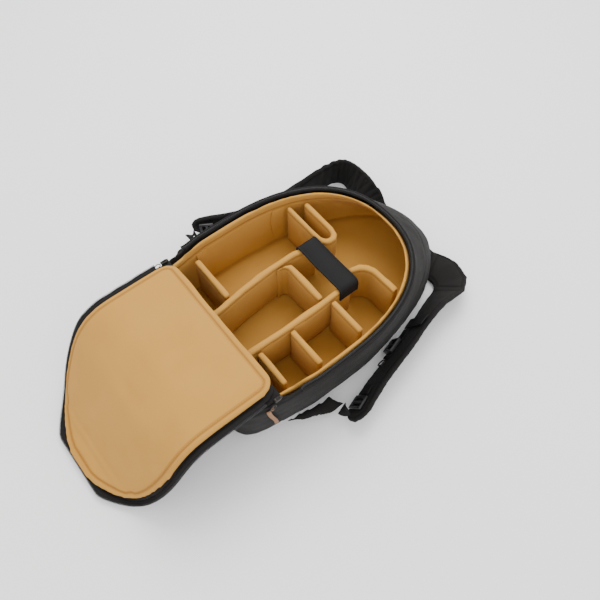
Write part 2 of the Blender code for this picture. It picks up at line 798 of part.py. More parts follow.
def make_cradle_strap(materials):
    """The black strap across the gap between the ends of the two long dividers."""
    half = CRADLE_WIDTH / 2
    side = DIVIDER_THICKNESS / 2 + SEAT_GAP
    places = [CRADLE_Y + half * share for share in (-1.0, -0.5, 0.0, 0.5, 1.0)]
    left = min(far_divider_x(place) for place in places) - side
    right = max(near_divider_x(place) for place in places) + side
    top = DIVIDER_TOP + SEAT_GAP
    thick = CRADLE_THICKNESS
    profile = [(left - thick, top - CRADLE_DROP), (left, top - CRADLE_DROP), (left, top)]
    profile += [(blend(left, right, share), top + thick * (0.6 - drop)) for share, drop in CRADLE_SAG]
    profile += [(right, top), (right, top - CRADLE_DROP), (right + thick, top - CRADLE_DROP)]
    profile += [(right + thick, top + thick * 0.4), (right, top + thick)]
    over = [(blend(left, right, share), top + thick * (1.6 - drop)) for share, drop in CRADLE_SAG]
    profile += list(reversed(over))
    profile += [(left, top + thick), (left - thick, top + thick * 0.4)]
    rings = []
    for y in (CRADLE_Y - half, CRADLE_Y + half):
        rings.append([Vector((x, y, z)) for x, z in profile])
    skin("cradle_strap", rings, materials["black_webbing"])


def strap_section(width, thickness):
    """A strap's cross-section from its lower edge: (up its width, through its thickness)."""
    half = thickness / 2
    lower = [(0.0, 0.0), (half * 0.5, half * 0.85), (half * 1.6, half)]
    upper = [(width - u, v) for u, v in reversed(lower)]
    front = lower + upper
    return front + [(u, -v) for u, v in reversed(front[1:-1])]


def strap_frame(table, place, side):
    """A strap's lower edge at a place, its direction, its width's and its face's, and its width."""
    across, along, tilt, width = curve_through(table, place)
    step = 0.05
    low = curve_through(table, max(place - step, 0.0))
    high = curve_through(table, min(place + step, len(table) - 1.0))
    run = Vector(((high[0] - low[0]) * BACK_HALF_WIDTH, (high[1] - low[1]) * BACK_TOP, 0)).normalized()
    outward = Vector((-run.y, run.x, 0)) * side
    turn = math.radians(tilt)
    up = outward * math.cos(turn) + Vector((0, 0, math.sin(turn)))
    face = outward * -math.sin(turn) + Vector((0, 0, math.cos(turn)))
    # A flat strap lies on its face, and a standing one on its rounded edge.
    rise = STRAP_THICKNESS / 2 * abs(math.cos(turn))
    foot = Vector((across * BACK_HALF_WIDTH, along * BACK_TOP, rise))
    return foot, run, up, face, width * STRAP_WIDTH


def make_strap(name, table, side, materials):
    """A padded shoulder strap from its root under the back to its rounded free end."""
    steps = (len(table) - 1) * STRAP_RINGS_PER_ROW
    rings = []
    for i in range(steps + 1):
        foot, _, up, face, width = strap_frame(table, i / STRAP_RINGS_PER_ROW, side)
        section = strap_section(width, STRAP_THICKNESS)
        rings.append([foot + up * u + face * v for u, v in section])
    foot, run, up, face, width = strap_frame(table, len(table) - 1.0, side)
    radius = width / 2
    for share in (0.45, 0.78, 0.95):
        shrink = math.sqrt(1 - share**2)
        middle = foot + up * radius + run * radius * share
        section = strap_section(width * shrink, STRAP_THICKNESS * (0.6 + 0.4 * shrink))
        half = width * shrink / 2
        rings.append([middle + up * (u - half) + face * v for u, v in section])
    skin(name, rings, materials["black_nylon"])


def on_strap(table, place, side, up_share, lift_off):
    """A point over a strap's inner face, with the strap's directions there."""
    foot, run, up, face, width = strap_frame(table, place, side)
    point = foot + up * width * up_share + face * (STRAP_THICKNESS / 2 + HARNESS_GAP + lift_off)
    return point, run, up, face


def band_along(name, table, side, span, up_share, size, material):
    """A flat band that follows a strap's inner face between two places along it."""
    half = size[0] / 2
    thick = size[1] / 2
    rings = []
    for i in range(BAND_STEPS + 1):
        place = blend(span[0], span[1], i / BAND_STEPS)
        point, _, up, face = on_strap(table, place, side, up_share, thick)
        corners = ((-half, -thick), (half, -thick), (half, thick), (-half, thick))
        rings.append([point + up * u + face * v for u, v in corners])
    skin(name, rings, material)


def pierced_plate(name, centre, axes, size, bar, material):
    """A flat frame with two slots between its three cross bars, as an adjuster has."""
    run, up, face = axes
    length, width, thickness = size
    slot = (length - bar * 3) / 2
    along = (0.0, bar, bar + slot, 2 * bar + slot, 2 * bar + 2 * slot, length)
    across = (0.0, bar, width - bar, width)
    start = centre - run * length / 2 - up * width / 2 - face * thickness / 2
    shape = bmesh.new()
    corners = [[shape.verts.new(start + run * a + up * u) for u in across] for a in along]
    faces = []
    for i in range(len(along) - 1):
        for j in range(len(across) - 1):
            is_slot = i % 2 == 1 and j == 1
            if not is_slot:
                ring = (corners[i][j], corners[i + 1][j], corners[i + 1][j + 1], corners[i][j + 1])
                faces.append(shape.faces.new(ring))
    raised = bmesh.ops.extrude_face_region(shape, geom=faces)
    tops = [item for item in raised["geom"] if isinstance(item, bmesh.types.BMVert)]
    bmesh.ops.translate(shape, verts=tops, vec=face * thickness)
    return finish(name, shape, material)


def ring_on(name, centre, one, other, radius, wire, material):
    """A wire ring in the plane of two directions."""
    rings = []
    out = one.cross(other).normalized()
    for i in range(12):
        turn = math.tau * i / 12
        spoke = one * math.cos(turn) + other * math.sin(turn)
        ring = []
        for k in range(6):
            twist = math.tau * k / 6
            ring.append(centre + spoke * (radius + wire * math.cos(twist)) + out * wire * math.sin(twist))
        rings.append(ring)
    return skin(name, rings, material, closed=True)


def make_lock(end, table, side, materials):
    """The adjuster on a strap's free end, with the stitched tab that holds it."""
    place = len(table) - 1 - LOCK_FROM_END
    centre, run, up, face = on_strap(table, place, side, 0.5, LOCK_THICKNESS / 2)
    axes = (run, up, face)
    size = (LOCK_LENGTH, LOCK_WIDTH, LOCK_THICKNESS)
    pierced_plate(f"ladder_lock_{end}", centre, axes, size, LOCK_BAR, materials["black_plastic"])
    behind = (place - LOCK_TAB_START, place - LOCK_TAB_STOP)
    size = (WEBBING_WIDTH, LOCK_TAB_THICKNESS)
    band_along(f"lock_tab_{end}", table, side, behind, 0.5, size, materials["black_webbing"])
    return centre + run * (LOCK_LENGTH / 2 + FREE_GAP / 4), run, up, face


def make_wing(end, table, side, reach, materials):
    """A cloth wing from the bag's lower side to where its webbing is sewn on."""
    columns = 6
    half = WING_THICKNESS / 2
    rings = []
    for share, low, high, height in table:
        z = height * BAG_DEPTH
        lower = []
        upper = []
        for i in range(columns + 1):
            y = blend(low, high, i / columns) * BACK_TOP
            wall = max(wall_at(y, z - half), wall_at(y, z + half)) + SIDE_GAP
            x = side * (wall + reach * share)
            lower.append(Vector((x, y, z - half)))
            upper.append(Vector((x, y, z + half)))
        rings.append(lower + upper[::-1])
    skin(f"anchor_wing_{end}", rings, materials["black_nylon"])
    _, low, high, height = table[-1]
    y = high * BACK_TOP - WEBBING_WIDTH / 2
    z = height * BAG_DEPTH
    widest = max(wall_at(place, z + half) for place in (low * BACK_TOP, y, high * BACK_TOP))
    return Vector((side * (widest + SIDE_GAP * 2 + reach), y, z))


def make_webbing(end, start, side, lock_end, materials):
    """The webbing that runs from a wing's tip into its adjuster, turning as it goes."""
    stop, run, up, face = lock_end
    stop = stop + face * WEBBING_RISE + run * WEBBING_SHORT
    start = start + Vector((side * WEBBING_OUT, 0, WEBBING_LIFT))
    heading = (stop - start).normalized()
    upright = (up - heading * up.dot(heading)).normalized()
    flat = heading.cross(Vector((0, 0, 1))).normalized()
    if flat.dot(upright) < 0:
        flat = -flat
    half = WEBBING_WIDTH / 2
    thick = WEBBING_THICKNESS / 2
    rings = []
    for i in range(WEBBING_STEPS + 1):
        share = i / WEBBING_STEPS
        point = start.lerp(stop, share)
        across = flat.lerp(upright, share).normalized()
        out = heading.cross(across)
        corners = ((-half, -thick), (half, -thick), (half, thick), (-half, thick))
        rings.append([point + across * w + out * v for w, v in corners])
    shape = loft(rings)
    bmesh.ops.triangulate(shape, faces=shape.faces)
    finish(f"adjuster_webbing_{end}", shape, materials["black_webbing"])


def make_harness(materials):
    """Both shoulder straps with the wings, webbing and adjusters at their lower ends."""
    ends = (
        ("far", FAR_STRAP, -1, FAR_WING, FAR_WING_REACH),
        ("near", NEAR_STRAP, 1, NEAR_WING, NEAR_WING_REACH),
    )
    for end, strap, side, wing, reach in ends:
        make_strap(f"shoulder_strap_{end}", strap, side, materials)
        lock_end = make_lock(end, strap, side, materials)
        tip = make_wing(end, wing, side, reach, materials)
        make_webbing(end, tip, side, lock_end, materials)


def make_chest_strap(materials):
    """The chest strap's band, webbing, buckle and ring on the near shoulder strap."""
    webbing = materials["black_webbing"]
    across = (BAND_PLACE - BAND_HALF_SPAN, BAND_PLACE + BAND_HALF_SPAN)
    size = (STRAP_WIDTH * BAND_SHARE, BAND_THICKNESS)
    band_along("chest_strap_band", NEAR_STRAP, 1, across, 0.5, size, webbing)
    size = (CHEST_WEBBING_WIDTH, WEBBING_THICKNESS)
    along = (CHEST_WEBBING_START, CHEST_WEBBING_STOP)
    band_along("chest_webbing", NEAR_STRAP, 1, along, CHEST_WEBBING_UP, size, webbing)
    over = WEBBING_THICKNESS + SEAT_GAP + BUCKLE_THICKNESS / 2
    centre, run, up, face = on_strap(NEAR_STRAP, BUCKLE_PLACE, 1, CHEST_WEBBING_UP, over)
    size = (BUCKLE_LENGTH, BUCKLE_WIDTH, BUCKLE_THICKNESS)
    pierced_plate("chest_buckle", centre, (run, up, face), size, BUCKLE_BAR, materials["black_plastic"])
    centre, run, up, _ = on_strap(NEAR_STRAP, CHEST_RING_PLACE, 1, CHEST_WEBBING_UP, CHEST_RING_WIRE)
    metal = materials["dark_metal"]
    ring_on("chest_ring", centre, run, up, CHEST_RING_RADIUS, CHEST_RING_WIRE, metal)


def make_slider(end, side, materials):
    """A zipper slider parked on the sill beside the flap's corner."""
    y = HINGE_Y - SLIDER_PAST_HINGE
    x = wall_at(y, BAG_DEPTH) - SLIDER_WIDTH / 2
    low = SILL_TOP + SEAT_GAP
    sections = (
        # width, length, height
        (0.90, 0.86, 0.00),
        (1.00, 1.00, 0.30),
        (1.00, 1.00, 0.65),
        (0.72, 0.80, 1.00),
    )
    rings = []
    for width, length, height in sections:
        half_x = SLIDER_WIDTH / 2 * width
        half_y = SLIDER_LENGTH / 2 * length
        nose = half_x * 0.55
        plan = (
            (-half_x, -half_y),
            (half_x, -half_y),
            (half_x, half_y * 0.3),
            (nose, half_y),
            (-nose, half_y),
            (-half_x, half_y * 0.3),
        )
        z = low + SLIDER_HEIGHT * height
        rings.append([Vector((side * (x + a), y + b, z)) for a, b in plan])
    skin(f"zipper_slider_{end}", rings, materials["dark_metal"])


def make_pull(end, side, materials):
    """A slider's ring and the leather strip that hangs from it down the bag's side."""
    ring_y = HINGE_Y - SLIDER_PAST_HINGE - SLIDER_LENGTH / 2 - RING_RADIUS
    reach = RING_RADIUS + RING_WIRE
    widest = max(wall_at(ring_y + reach * share, BAG_DEPTH) for share in (-1, 0, 1))
    out = widest + RING_WIRE + SIDE_GAP
    centre = Vector((side * out, ring_y, SILL_TOP - RING_RADIUS))
    across, upright = Vector((0, 1, 0)), Vector((0, 0, 1))
    ring_on(f"pull_ring_{end}", centre, across, upright, RING_RADIUS, RING_WIRE, materials["dark_metal"])
    top_y = HINGE_Y - PULL_PAST_HINGE
    top_z = BAG_DEPTH - PULL_TOP_DROP
    half = PULL_WIDTH / 2
    steps = 8
    rings = []
    for i in range(steps + 1):
        share = i / steps
        z = top_z - PULL_LENGTH * share
        y = top_y + PULL_SWAY * ease(share)
        low_x = wall_at(y - half, z) + SIDE_GAP
        high_x = wall_at(y + half, z) + SIDE_GAP
        plan = (
            (low_x, y - half),
            (high_x, y + half),
            (high_x + PULL_THICKNESS, y + half),
            (low_x + PULL_THICKNESS, y - half),
        )
        rings.append([Vector((side * a, b, z)) for a, b in plan])
    skin(f"pull_strip_{end}", rings, materials["brown_leather"])


def main():
    """Build every piece of the bag."""
    clear_scene()
    materials = make_materials()
    make_back_pad(materials)
    make_shell(materials)
    make_lining(materials)
    make_sill(materials)
    make_opening_zipper(materials)
    make_flap(materials)
    make_long_dividers(materials)
    make_cross_dividers(materials)
    make_folded_divider(materials)
    make_bent_divider(materials)
    make_cradle_strap(materials)
    make_harness(materials)
    make_chest_strap(materials)
    for end, side in (("far", -1), ("near", 1)):
        make_slider(end, side, materials)
        make_pull(end, side, materials)


main()
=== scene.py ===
"""The looks of an open camera backpack that lies on its back with its flap folded down.

Padded pieces start from the fixed model's shapes, are puffed up as cloth between their seams and
get seams, stitches, folds and bindings. Lengths are in metres, and +Z is up from the floor.
"""

from __future__ import annotations

import logging
import math
from collections.abc import Callable
from dataclasses import dataclass, field
from enum import Enum

import bmesh
import bpy
from mathutils import Matrix, Vector, noise
from mathutils.bvhtree import BVHTree
from mathutils.kdtree import KDTree

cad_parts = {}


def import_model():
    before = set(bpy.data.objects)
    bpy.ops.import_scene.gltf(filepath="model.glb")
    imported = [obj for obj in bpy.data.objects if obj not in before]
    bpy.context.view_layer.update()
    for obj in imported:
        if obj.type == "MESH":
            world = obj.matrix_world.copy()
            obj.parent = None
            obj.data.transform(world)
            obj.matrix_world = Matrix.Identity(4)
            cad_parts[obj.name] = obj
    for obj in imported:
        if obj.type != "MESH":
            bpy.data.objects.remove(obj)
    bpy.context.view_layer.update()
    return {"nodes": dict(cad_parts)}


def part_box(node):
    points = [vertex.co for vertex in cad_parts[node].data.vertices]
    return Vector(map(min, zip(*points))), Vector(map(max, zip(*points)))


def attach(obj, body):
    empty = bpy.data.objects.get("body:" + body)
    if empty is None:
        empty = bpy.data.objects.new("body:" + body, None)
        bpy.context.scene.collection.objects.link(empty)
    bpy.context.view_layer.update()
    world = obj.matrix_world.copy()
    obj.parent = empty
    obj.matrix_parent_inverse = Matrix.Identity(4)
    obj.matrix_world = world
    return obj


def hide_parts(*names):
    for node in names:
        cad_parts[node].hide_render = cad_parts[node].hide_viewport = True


LOG = logging.getLogger("backpack")
BODY = "root"
UP = Vector((0.0, 0.0, 1.0))
ACROSS = Vector((1.0, 0.0, 0.0))
Field = Callable[[Vector], float]


class Slot(Enum):
    """The record's material slots."""

    NYLON = "black_nylon"
    MESH = "black_mesh"
    LINING = "tan_tricot"
    WEBBING = "black_webbing"
    PLASTIC = "black_plastic"
    METAL = "dark_metal"
    LEATHER = "brown_leather"


# Finishes


class Graph:
    """One material's shader nodes, added and linked by short calls."""

    def __init__(self, name: str) -> None:
        """Start a material with a Principled shader.

        Args:
            name: The material's name.
        """
        self.material = bpy.data.materials.new(name)
        self.material.use_nodes = True
        self.tree = self.material.node_tree
        self.shader = self.tree.nodes["Principled BSDF"]

    def add(self, kind: str, **settings: object) -> bpy.types.Node:
        """Add a node.

        Args:
            kind: The node's type name.
            settings: Properties to set on it.

        Returns:
            The new node.
        """
        node = self.tree.nodes.new(kind)
        for name, value in settings.items():
            setattr(node, name, value)
        return node

    def feed(self, socket: bpy.types.NodeSocket, value: object) -> None:
        """Link an output to a socket, or set the socket's own value."""
        if isinstance(value, bpy.types.NodeSocket):
            self.tree.links.new(value, socket)
        else:
            socket.default_value = value

    def object_coords(self) -> bpy.types.NodeSocket:
        """The piece's own coordinates, in metres."""
        return self.add("ShaderNodeTexCoord").outputs["Object"]

    def attribute(self, name: str) -> bpy.types.NodeSocket:
        """A value stored on the mesh."""
        return self.add("ShaderNodeAttribute", attribute_name=name).outputs["Fac"]

    def noise(self, coords: object, scale: float, detail: float = 3.0) -> bpy.types.NodeSocket:
        """A soft random pattern from 0 to 1."""
        node = self.add("ShaderNodeTexNoise")
        self.feed(node.inputs["Vector"], coords)
        self.feed(node.inputs["Scale"], scale)
        self.feed(node.inputs["Detail"], detail)
        return node.outputs["Fac"]

    def bands(self, coords: object, direction: str, pitch: float) -> bpy.types.NodeSocket:
        """Even ribs of a pitch in metres across a direction."""
        node = self.add("ShaderNodeTexWave", bands_direction=direction)
        self.feed(node.inputs["Vector"], coords)
        self.feed(node.inputs["Scale"], math.tau / (20.0 * pitch))
        return node.outputs["Fac"]

    def maths(self, operation: str, a: object, b: object) -> bpy.types.NodeSocket:
        """Two values put together by one operation."""
        node = self.add("ShaderNodeMath", operation=operation)
        self.feed(node.inputs[0], a)
        self.feed(node.inputs[1], b)
        return node.outputs["Value"]

    def mix(self, factor: object, a: object, b: object) -> bpy.types.NodeSocket:
        """A colour a share of the way from one colour to another."""
        node = self.add("ShaderNodeMix", data_type="RGBA")
        self.feed(node.inputs[0], factor)
        self.feed(node.inputs[6], a)
        self.feed(node.inputs[7], b)
        return node.outputs[2]

    def bump(self, height: object, distance: float, strength: float) -> None:
        """Raise the surface by a height pattern."""
        node = self.add("ShaderNodeBump")
        self.feed(node.inputs["Height"], height)
        self.feed(node.inputs["Distance"], distance)
        self.feed(node.inputs["Strength"], strength)
        self.feed(self.shader.inputs["Normal"], node.outputs["Normal"])


Colour = tuple[float, float, float, float]


@dataclass(frozen=True)
class Cloth:
    """A woven or brushed cloth."""

    slot: Slot
    colour: Colour
    shade: Colour
    # The seam colour is painted shade for the pressed-in seams and feet.
    seam: Colour
    roughness: float
    sheen: float
    thread: float
    nap: float
    bump: float
    mottle: float

    def build(self) -> bpy.types.Material:
        """Make the material: mottled colour, painted shade along the pressed-in seams, threads and
        nap.
        """
        graph = Graph(self.slot.value + "_cloth")
        coords = graph.object_coords()
        mottle = graph.noise(coords, self.mottle, 4.0)
        nap = graph.noise(coords, self.nap, 2.0)
        tone = graph.mix(mottle, self.colour, self.shade)
        speckle = graph.mix(graph.maths("MULTIPLY", nap, 0.35), tone, self.shade)
        # Painted shade: the cloth is darkened towards the seam colour where the seams and feet are
        # pressed in.
        seam_shade = graph.maths("MULTIPLY", graph.attribute("seam"), 0.8)
        graph.feed(graph.shader.inputs["Base Color"], graph.mix(seam_shade, speckle, self.seam))
        rough = graph.maths("MULTIPLY_ADD", mottle, 0.12)
        graph.feed(rough.node.inputs[2], self.roughness - 0.06)
        graph.feed(graph.shader.inputs["Roughness"], rough)
        graph.feed(graph.shader.inputs["Sheen Weight"], self.sheen)
        graph.feed(graph.shader.inputs["Specular IOR Level"], 0.2)
        warp = graph.bands(coords, "DIAGONAL", self.thread)
        weft = graph.bands(coords, "Z", self.thread)
        threads = graph.maths("MAXIMUM", warp, weft)
        graph.bump(graph.maths("ADD", threads, nap), self.bump, 0.55)
        return graph.material


@dataclass(frozen=True)
class Ribbed:
    """A woven tape whose ribs follow the piece's own axes."""

    slot: Slot
    colour: Colour
    shade: Colour
    roughness: float
    rib: float

    def build(self) -> bpy.types.Material:
        """Make the material."""
        graph = Graph(self.slot.value + "_tape")
        coords = graph.object_coords()
        ribs = graph.bands(coords, "DIAGONAL", self.rib)
        cross = graph.bands(coords, "Z", self.rib * 1.7)
        pattern = graph.maths("MULTIPLY", ribs, cross)
        wear = graph.noise(coords, 60.0, 3.0)
        tone = graph.mix(graph.maths("MULTIPLY", pattern, 0.7), self.shade, self.colour)
        graph.feed(graph.shader.inputs["Base Color"], graph.mix(wear, tone, self.colour))
        graph.feed(graph.shader.inputs["Roughness"], self.roughness)
        graph.feed(graph.shader.inputs["Specular IOR Level"], 0.2)
        graph.bump(pattern, 0.0004, 0.6)
        return graph.material


@dataclass(frozen=True)
class Hard:
    """Moulded plastic, plated metal or leather."""

    slot: Slot
    colour: Colour
    shade: Colour
    roughness: float
    metallic: float
    grain: float
    bump: float

    def build(self) -> bpy.types.Material:
        """Make the material: a slightly uneven colour and roughness, and a fine grain."""
        graph = Graph(self.slot.value + "_solid")
        coords = graph.object_coords()
        broad = graph.noise(coords, self.grain * 0.12, 3.0)
        grain = graph.noise(coords, self.grain, 4.0)
        graph.feed(graph.shader.inputs["Base Color"], graph.mix(broad, self.colour, self.shade))
        graph.feed(graph.shader.inputs["Metallic"], self.metallic)
        rough = graph.maths("MULTIPLY_ADD", grain, 0.18)
        graph.feed(rough.node.inputs[2], self.roughness - 0.09)
        graph.feed(graph.shader.inputs["Roughness"], rough)
        graph.bump(grain, self.bump, 0.4)
        return graph.material


# Each cloth's seam colour is painted shade in its pressed-in seams and feet.
FINISHES: tuple[Cloth | Ribbed | Hard, ...] = (
    Cloth(
        Slot.NYLON,
        colour=(0.0100, 0.0088, 0.0080, 1.0),
        shade=(0.0060, 0.0053, 0.0049, 1.0),
        seam=(0.0035, 0.0031, 0.0029, 1.0),
        roughness=0.82,
        sheen=0.02,
        thread=0.0011,
        nap=900.0,
        bump=0.00025,
        mottle=22.0,
    ),
    Cloth(
        Slot.MESH,
        colour=(0.0140, 0.0135, 0.0135, 1.0),
        shade=(0.0075, 0.0072, 0.0072, 1.0),
        seam=(0.0050, 0.0048, 0.0048, 1.0),
        roughness=0.90,
        sheen=0.02,
        thread=0.0026,
        nap=420.0,
        bump=0.0007,
        mottle=40.0,
    ),
    Cloth(
        Slot.LINING,
        colour=(0.500, 0.262, 0.052, 1.0),
        shade=(0.425, 0.208, 0.037, 1.0),
        seam=(0.230, 0.092, 0.014, 1.0),
        roughness=0.92,
        sheen=0.03,
        thread=0.0009,
        nap=1100.0,
        bump=0.00018,
        mottle=14.0,
    ),
    Ribbed(
        Slot.WEBBING,
        colour=(0.0090, 0.0084, 0.0082, 1.0),
        shade=(0.0070, 0.0068, 0.0070, 1.0),
        roughness=0.82,
        rib=0.0016,
    ),
    Hard(
        Slot.PLASTIC,
        colour=(0.0120, 0.0120, 0.0130, 1.0),
        shade=(0.0085, 0.0085, 0.0092, 1.0),
        roughness=0.42,
        metallic=0.0,
        grain=900.0,
        bump=0.00010,
    ),
    Hard(
        Slot.METAL,
        colour=(0.050, 0.045, 0.041, 1.0),
        shade=(0.040, 0.036, 0.033, 1.0),
        roughness=0.36,
        metallic=0.75,
        grain=700.0,
        bump=0.00005,
    ),
    Hard(
        Slot.LEATHER,
        colour=(0.300, 0.150, 0.062, 1.0),
        shade=(0.150, 0.066, 0.026, 1.0),
        roughness=0.62,
        metallic=0.0,
        grain=620.0,
        bump=0.00022,
    ),
)


class Wardrobe:
    """The finished materials by slot."""

    def __init__(self) -> None:
        """Build every finish once."""
        self.made = {finish.slot: finish.build() for finish in FINISHES}

    def dress(self, piece: bpy.types.Object, slot: Slot) -> bpy.types.Object:
        """Give a piece its material and let it ride on the model.

        Args:
            piece: The piece, in place.
            slot: The record's slot that its finish belongs to.

        Returns:
            The same piece.
        """
        piece.data.materials.clear()
        piece.data.materials.append(self.made[slot])
        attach(piece, BODY)
        return piece


# Sections, paths, sweeps and rows of small things


def as_bmesh(mesh: bpy.types.Mesh) -> bmesh.types.BMesh:
    """A mesh's welded copy for editing."""
    shape = bmesh.new()
    shape.from_mesh(mesh)
    bmesh.ops.remove_doubles(shape, verts=shape.verts, dist=0.00002)
    bmesh.ops.recalc_face_normals(shape, faces=shape.faces)
    return shape


def as_piece(shape: bmesh.types.BMesh, name: str) -> bpy.types.Object:
    """Turn an edited shape into a smooth shaded object at the origin."""
    bmesh.ops.recalc_face_normals(shape, faces=shape.faces)
    mesh = bpy.data.meshes.new(name)
    shape.to_mesh(mesh)
    shape.free()
    mesh.shade_smooth()
    mesh.set_sharp_from_angle(angle=math.radians(50))
    piece = bpy.data.objects.new(name, mesh)
    bpy.context.scene.collection.objects.link(piece)
    return piece


def resample(points: list[Vector], pitch: float, closed: bool) -> list[Vector]:
    """Points at an even pitch along a line.

    Args:
        points: The line's corners.
        pitch: The wanted distance between points.
        closed: Whether the line joins up.

    Returns:
        The new points, without a repeat of the first one.
    """
    line = points + [points[0]] if closed else points
    lengths = [(b - a).length for a, b in zip(line, line[1:])]
    total = sum(lengths)
    count = max(int(round(total / pitch)), 2)
    stops = [total * i / count for i in range(count if closed else count + 1)]
    found = []
    leg, passed = 0, 0.0
    for stop in stops:
        while leg < len(lengths) - 1 and passed + lengths[leg] < stop:
            passed += lengths[leg]
            leg += 1
        share = (stop - passed) / lengths[leg] if lengths[leg] > 0 else 0.0
        found.append(line[leg].lerp(line[leg + 1], min(share, 1.0)))
    return found


def relax(points: list[Vector], rounds: int, closed: bool) -> list[Vector]:
    """Take the corners out of a line of points."""
    for _ in range(rounds):
        count = len(points)
        eased = list(points)
        for i in range(count):
            if closed or 0 < i < count - 1:
                eased[i] = points[i] * 0.5 + (points[i - 1] + points[(i + 1) % count]) * 0.25
        points = eased
    return points


def tangents(points: list[Vector], closed: bool) -> list[Vector]:
    """The direction of a line at each of its points."""
    count = len(points)
    found = []
    for i in range(count):
        before = points[i - 1] if closed or i > 0 else points[0]
        after = points[(i + 1) % count] if closed or i < count - 1 else points[-1]
        found.append((after - before).normalized())
    return found


def section_loops(mesh: bpy.types.Mesh, place: Vector, normal: Vector) -> list[list[Vector]]:
    """The closed lines in which a plane cuts a mesh, the longest first."""
    shape = as_bmesh(mesh)
    everything = shape.verts[:] + shape.edges[:] + shape.faces[:]
    cut = bmesh.ops.bisect_plane(shape, geom=everything, plane_co=place, plane_no=normal)
    edges = [item for item in cut["geom_cut"] if isinstance(item, bmesh.types.BMEdge)]
    left = set(edges)
    loops = []
    while left:
        edge = left.pop()
        start, here = edge.verts
        loop = [start.co.copy(), here.co.copy()]
        while here is not start:
            onward = next((e for e in here.link_edges if e in left), None)
            if onward is None:
                break
            left.discard(onward)
            here = onward.other_vert(here)
            if here is not start:
                loop.append(here.co.copy())
        if len(loop) > 3:
            loops.append(loop)
    shape.free()
    return sorted(loops, key=lambda loop: -sum((b - a).length for a, b in zip(loop, loop[1:])))


def sweep(
    points: list[Vector], ups: list[Vector], section: list[tuple[float, float]], closed: bool
) -> bmesh.types.BMesh:
    """Carry a closed section along a line.

    Args:
        points: The line.
        ups: The section's upward direction at each point.
        section: The section's corners as (across, up).
        closed: Whether the line joins up.

    Returns:
        The swept shape, with closed ends.
    """
    shape = bmesh.new()
    headings = tangents(points, closed)
    stops, sides = len(points), len(section)
    spans = stops if closed else stops - 1
    bmesh.ops.create_grid(shape, x_segments=spans, y_segments=sides, size=0.5)
    for vert in shape.verts:
        i = round((vert.co.x + 0.5) * spans) % stops
        k = round((vert.co.y + 0.5) * sides) % sides
        side = headings[i].cross(ups[i]).normalized()
        lift = side.cross(headings[i]).normalized()
        vert.co = points[i] + side * section[k][0] + lift * section[k][1]
    bmesh.ops.remove_doubles(shape, verts=shape.verts, dist=0.000001)
    if not closed:
        ends = [edge for edge in shape.edges if edge.is_boundary]
        bmesh.ops.holes_fill(shape, edges=ends, sides=sides)
    return shape


def round_section(radius: float, sides: int = 8) -> list[tuple[float, float]]:
    """A round cord's section."""
    turns = [math.tau * i / sides for i in range(sides)]
    return [(radius * math.cos(turn), radius * math.sin(turn)) for turn in turns]


def flat_section(width: float, thickness: float) -> list[tuple[float, float]]:
    """A flat tape's section with eased edges."""
    half, thick = width / 2, thickness / 2
    inner = half - thick
    return [
        (-half, 0.0),
        (-inner, -thick),
        (inner, -thick),
        (half, 0.0),
        (inner, thick),
        (-inner, thick),
    ]


def stood_at(place: Vector, heading: Vector, up: Vector) -> Matrix:
    """A turn and a move that stand a small thing at a place, its X along a heading."""
    side = up.cross(heading).normalized()
    lift = heading.cross(side).normalized()
    turned = Matrix((heading.normalized(), side, lift)).transposed().to_4x4()
    return Matrix.Translation(place) @ turned


def row_of(template: bmesh.types.BMesh, places: list[Matrix], name: str) -> bpy.types.Object:
    """One joined piece with a copy of a small thing at each place."""
    small = bpy.data.meshes.new(name + "_one")
    template.to_mesh(small)
    template.free()
    joined = bmesh.new()
    for place in places:
        small.transform(place)
        joined.from_mesh(small)
        small.transform(place.inverted())
    bpy.data.meshes.remove(small)
    return as_piece(joined, name)


def block(size: tuple[float, float, float], ease: float) -> bmesh.types.BMesh:
    """A small block with eased edges."""
    shape = bmesh.new()
    bmesh.ops.create_cube(shape, size=1.0)
    bmesh.ops.scale(shape, vec=size, verts=shape.verts)
    bmesh.ops.bevel(
        shape,
        geom=shape.edges[:],
        offset=ease,
        segments=1,
        profile=0.5,
        affect="EDGES",
        material=-1,
    )
    return shape


def thread(length: float, thickness: float) -> bmesh.types.BMesh:
    """One stitch: a short thread that dips at both ends."""
    shape = bmesh.new()
    bmesh.ops.create_uvsphere(shape, u_segments=6, v_segments=4, radius=0.5)
    bmesh.ops.rotate(shape, matrix=Matrix.Rotation(math.pi / 2, 3, "Y"), verts=shape.verts)
    bmesh.ops.scale(shape, vec=(length, thickness, thickness), verts=shape.verts)
    return shape


class Surface:
    """A finished piece's surface, for laying seams and stitches on it."""

    def __init__(self, piece: bpy.types.Object) -> None:
        """Index the piece's faces."""
        mesh = piece.data
        points = [vert.co.copy() for vert in mesh.vertices]
        self.tree = BVHTree.FromPolygons(points, [tuple(face.vertices) for face in mesh.polygons])

    def drop(self, start: Vector, way: Vector, reach: float) -> tuple[Vector, Vector] | None:
        """Where a line from a start first meets the surface, with the direction out of it."""
        place, normal, _, _ = self.tree.ray_cast(start, way, reach)
        if place is None:
            return None
        return place, normal if normal.dot(way) < 0 else -normal


# Padded pieces


def smooth_step(value: float) -> float:
    """An eased share from 0 to 1."""
    value = min(1.0, max(0.0, value))
    return value * value * (3.0 - 2.0 * value)


def ridge(distance: float, width: float) -> float:
    """1 at a line, falling to 0 at a width from it."""
    return 1.0 - smooth_step(abs(distance) / width)


def nothing(_: Vector) -> float:
    """A field that is nought everywhere."""
    return 0.0


